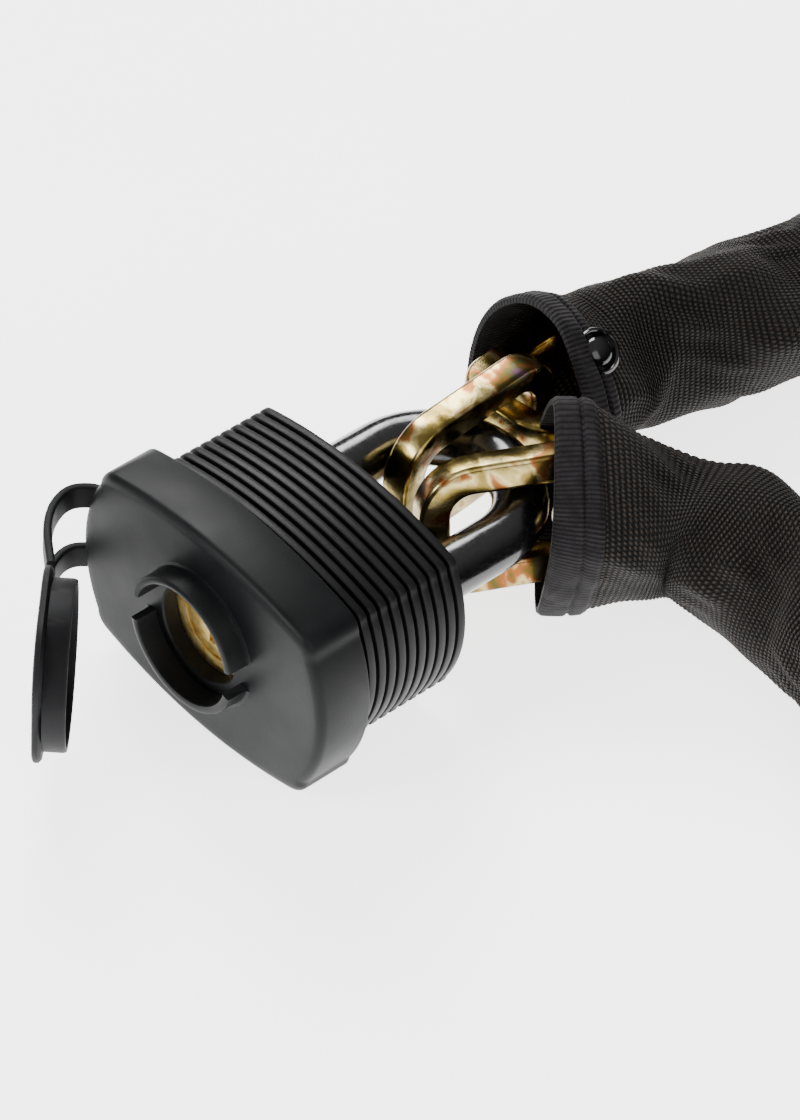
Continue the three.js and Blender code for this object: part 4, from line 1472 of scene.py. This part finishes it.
    def sections(
        self, start: float, end: float, count: int, around: int, proud: float = 0.0,
        relief: Callable[[np.ndarray, np.ndarray], np.ndarray] | None = None,
    ) -> tuple[np.ndarray, np.ndarray]:
        """Rings of the sleeve's surface between two distances along it.

        Args:
            start: The first distance in metres.
            end: The last distance in metres.
            count: How many rings.
            around: How many points in each.
            proud: How far outside the sleeve's own surface.
            relief: Extra height by distance along and around, in metres.

        Returns:
            The rings, and the weave coordinates of their points in millimetres.
        """
        at = np.linspace(start, end, count)
        middle, _, across, up = self.frames(at)
        angle = np.linspace(0, 2 * math.pi, around, endpoint=False)
        support = np.stack([np.interp(at, self.stations, column) for column in self.push.T], 1)
        own = self.own_shape(at)
        support = 0.5 * (support + own + np.sqrt((support - own) ** 2 + (1.2 * MM) ** 2))
        # A taut skin round the supports: the nearest of the flat sides that they set.
        facing = np.cos(angle[:, None] - self.ways[None])
        reach = 1 / np.max(facing[None] / support[:, None], axis=2)
        s, angle = at[:, None], angle[None]
        along = s / MM
        rear, front = self.mouths(at)
        calm = (1 - 0.7 * rear[:, None]) * (1 - 0.7 * front[:, None])
        folds = sum(fold.at(angle, along) for fold in self.folds)
        # A band of fine creases comes back once for each link, and is strongest in its middle.
        pitch, middle_of_band, breadth = 26.7, 13, 5
        band = ((along + 9 * np.sin(angle)) % pitch - middle_of_band) / breadth
        creases = np.exp(-(band**2)) * np.sin(angle * 11 + along * 0.35)
        swell = np.maximum(0.7 * folds + 0.55 * creases, -self.fold_depth) * MM * calm
        reach = reach + proud + swell + (relief(s, angle) if relief else 0.0)
        x, z = reach * np.cos(angle), reach * np.sin(angle)
        points = middle[:, None] + across[:, None] * x[..., None] + up[:, None] * z[..., None]
        # It rests on the floor: what would sink is flattened against it.
        floor = CAD_BOX[0].z + 0.1 * MM
        points[..., 2] = np.maximum(points[..., 2], floor)
        turns = np.linspace(0, 1, around + 1)[None] * self.girth_mm
        weave = np.stack(np.broadcast_arrays(along, turns), 2)
        return points, weave

    def tube(self) -> bpy.types.Object:
        """The sleeve itself: a thin wall with woven rows outside.

        Returns:
            The new object.
        """
        rows = int(self.length / self.row)
        count = rows * 4 + 1
        tip = rows * self.row

        def ribs(s: np.ndarray, angle: np.ndarray) -> np.ndarray:
            """The woven rows' height."""
            return self.row_relief * (np.abs(np.sin(math.pi * s / self.row)) - 0.5) + 0 * angle

        inset = 2 * MM
        outer, weave = self.sections(inset, tip - inset, count, self.around, relief=ribs)
        inner, lining = self.sections(tip - inset, inset, count // 6, self.around, proud=-self.wall)
        rings, weaves = np.concatenate([outer, inner]), np.concatenate([weave, lining])
        points, faces, uv = loft(rings, closed=True, uv=weaves)
        return make_mesh("woven_sleeve", points, faces, uv, crease=60)

    def hem_band(self, name: str, at_end: bool) -> bpy.types.Object:
        """A hem of folded tape round one mouth, with its stitched seam.

        Args:
            name: The new object's name.
            at_end: True for the front mouth, at the end of the route.

        Returns:
            The new object.
        """
        around = 480
        seam = 0.62 * self.hem

        def cords(s: np.ndarray, angle: np.ndarray) -> np.ndarray:
            """The height of the tape's cords and the groove of its seam."""
            into = np.abs(s - (self.length if at_end else 0.0))
            groove = 0.55 * MM * np.exp(-(((into - seam) / (0.35 * MM)) ** 2))
            edge = 0.5 * MM * (1 - fade(into, 0, 0.9 * MM))
            edge = edge + 0.45 * MM * fade(into, self.hem - 1 * MM, self.hem)
            cord = 0.1 * MM * np.abs(np.sin(angle * 59))
            return cord - groove - edge

        start, end = (self.length, self.length - self.hem) if at_end else (0.0, self.hem)
        outer, weave = self.sections(start, end, 44, around, proud=self.hem_wall * 0.75, relief=cords)
        inner, lining = self.sections(end, start, 10, around, proud=-self.hem_wall * 0.6)
        rings, weaves = np.concatenate([outer, inner]), np.concatenate([weave, lining])
        points, faces, uv = loft(rings, closed=True, uv=weaves)
        return make_mesh(name, points, faces, uv, crease=60)

    def stud(self, sleeve: bpy.types.Object) -> bpy.types.Object:
        """The press stud: a domed cap in a rolled ring.

        Args:
            sleeve: The sleeve that it is pressed through.

        Returns:
            The new object.
        """
        low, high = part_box("sleeve_stud")
        found, seat, _, _ = sleeve.closest_point_on_mesh((low + high) / 2)
        middle = np.array(seat if found else (low + high) / 2)
        corners = np.array([v.co for v in frame["nodes"]["sleeve_stud"].data.vertices])
        normal = np.linalg.svd(corners - corners.mean(0), full_matrices=False)[2][2]
        normal *= np.sign(normal[2])
        side = np.cross(normal, [1.0, 0.0, 0.0])
        side /= np.linalg.norm(side)
        other = np.cross(normal, side)
        # Radius and height in millimetres: the dome, the groove round it, the rolled ring and the back.
        profile = [
            (0.05, 1.9), (1.2, 1.8), (2.1, 1.45), (2.7, 0.9), (2.95, 0.35), (3.15, 0.25), (3.4, 0.7),
            (3.8, 0.95), (4.2, 0.75), (4.45, 0.3), (4.45, -0.6), (4.2, -0.9), (0.05, -0.9),
        ]
        lift = 0.4
        turns = np.linspace(0, 2 * math.pi, 64, endpoint=False)
        rings = []
        for radius, height in profile:
            circle = np.cos(turns)[:, None] * side + np.sin(turns)[:, None] * other
            rings.append(middle + circle * radius * MM + normal * (height + lift) * MM)
        points, faces, _ = loft(np.array(rings))
        return make_mesh("press_stud", points, faces, crease=50)

    def build(self, links: list[bpy.types.Object]) -> None:
        """Args:
            links: The chain's links, which the sleeve covers.
        """
        self.wrap(links)
        sleeve = self.tube()
        dress(sleeve, SLEEVE_YARN.build())
        tape = HEM_TAPE.build()
        rear, front = self.hem_band("rear_hem_tape", False), self.hem_band("front_hem_tape", True)
        stud = self.stud(sleeve)
        for hem, node in ((rear, "rear_hem"), (front, "front_hem")):
            dress(hem, tape)
            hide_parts(node)
        dress(stud, STUD_ENAMEL.build())
        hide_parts("sleeve_stud")
        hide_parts("sleeve")
        for piece in (sleeve, rear, front, stud):
            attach(piece, "chain")
        path = evenly(self.line, 4 * MM)
        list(links)
        LOG.info("sleeve: %.0f mm along its middle", self.length / MM)


# ---- studio -----------------------------------------------------------------------------------


@dataclass
class Studio:
    """The floor, the lights and the camera.

    Attributes:
        azimuth: The camera's direction round the lock, in degrees; 0 looks along +Y.
        elevation: Its height above the horizon, in degrees.
        roll: How far it leans, in degrees.
        distance: From the camera to what it aims at.
        aim: Where it aims, from the middle of the end cap's land.
        lens: The focal length in millimetres.
    """

    azimuth: float = -45.496
    elevation: float = 44.433
    roll: float = 4.829
    distance: float = 821.8 * MM
    aim: Vector = field(default_factory=lambda: Vector((30.22, -9.86, 24.38)) * MM)
    lens: float = 156.2

    def floor(self) -> None:
        """Lays the paper sweep under the object."""
        reach, steps = 3.0, 24
        grid = np.linspace(-reach, reach, steps)
        x, y = np.meshgrid(grid, grid)
        height = CAD_BOX[0].z - 0.05 * MM
        points = np.column_stack([x.ravel(), y.ravel(), np.full(x.size, height)])
        faces = [[r * steps + c, r * steps + c + 1, (r + 1) * steps + c + 1, (r + 1) * steps + c]
                 for r in range(steps - 1) for c in range(steps - 1)]
        sweep_floor = make_mesh("paper_floor", points, faces)
        dress(sweep_floor, PAPER.build())

    def softbox(self, name: str, place: tuple[float, float, float], power: float, size: float) -> None:
        """Adds one softbox that faces the lock.

        Args:
            name: The light's name.
            place: Where it stands, in metres.
            power: Its power in watts.
            size: Its side in metres.
        """
        light = bpy.data.lights.new(name, "AREA")
        light.energy, light.shape, light.size = power, "SQUARE", size
        lamp = bpy.data.objects.new(name, light)
        lamp.location = place
        towards = Vector((0.04, -0.02, 0.02)) - Vector(place)
        lamp.rotation_euler = towards.to_track_quat("-Z", "Y").to_euler()
        bpy.context.scene.collection.objects.link(lamp)

    def lights(self) -> None:
        """Sets the soft lights and a bright even surround."""
        self.softbox("softbox_back", (0.55, 0.95, 1.0), 30.0, 0.7)
        self.softbox("softbox_left", (-1.1, 0.35, 0.75), 16.0, 0.6)
        self.softbox("softbox_front", (-0.25, -1.1, 0.9), 9.0, 1.0)
        world = bpy.data.worlds.new("surround")
        world.use_nodes = True
        tree = world.node_tree
        surround = tree.nodes["Background"]
        around = add_node(tree, "ShaderNodeTexCoord")
        height = add_node(tree, "ShaderNodeSeparateXYZ", inputs={0: around.outputs["Generated"]})
        wall = add_node(tree, "ShaderNodeValToRGB", {"stops": [
            (0.0, "303030"), (0.35, "8c8c8c"), (0.9, "ffffff")]}, {"Fac": height.outputs["Z"]})
        tree.links.new(wall.outputs["Color"], surround.inputs["Color"])
        surround.inputs["Strength"].default_value = 0.6
        bpy.context.scene.world = world

    def camera(self) -> None:
        """Stands the camera at its viewing angle."""
        a, e = math.radians(self.azimuth), math.radians(self.elevation)
        back = Vector((math.sin(a) * math.cos(e), -math.cos(a) * math.cos(e), math.sin(e)))
        lens = bpy.data.cameras.new("view")
        lens.lens = self.lens
        lens.clip_start, lens.clip_end = 0.05, 20.0
        camera = bpy.data.objects.new("view", lens)
        upright = (-back).to_track_quat("-Z", "Y").to_matrix().to_4x4()
        lean = Matrix.Rotation(math.radians(self.roll), 4, "Z")
        camera.matrix_world = Matrix.Translation(self.aim + back * self.distance) @ upright @ lean
        bpy.context.scene.collection.objects.link(camera)
        bpy.context.scene.camera = camera

    def build(self) -> None:
        """Sets up the studio."""
        self.camera()
        self.floor()
        self.lights()
        LOG.info("studio: camera %.0f mm away", self.distance / MM)


def main() -> None:
    """Builds every piece in order."""
    logging.basicConfig(level=logging.INFO, format="%(message)s")
    Studio().build()
    links = ChainLinks().build()
    Sleeve().build(links)
    casing, cap = Casing(), EndCap()
    casing.build()
    cap.build(casing.outline)
    LockWorks().build()
    ShackleCoat().build()
    KeyCover().build(cap)


if __name__ == "__main__":
    main()
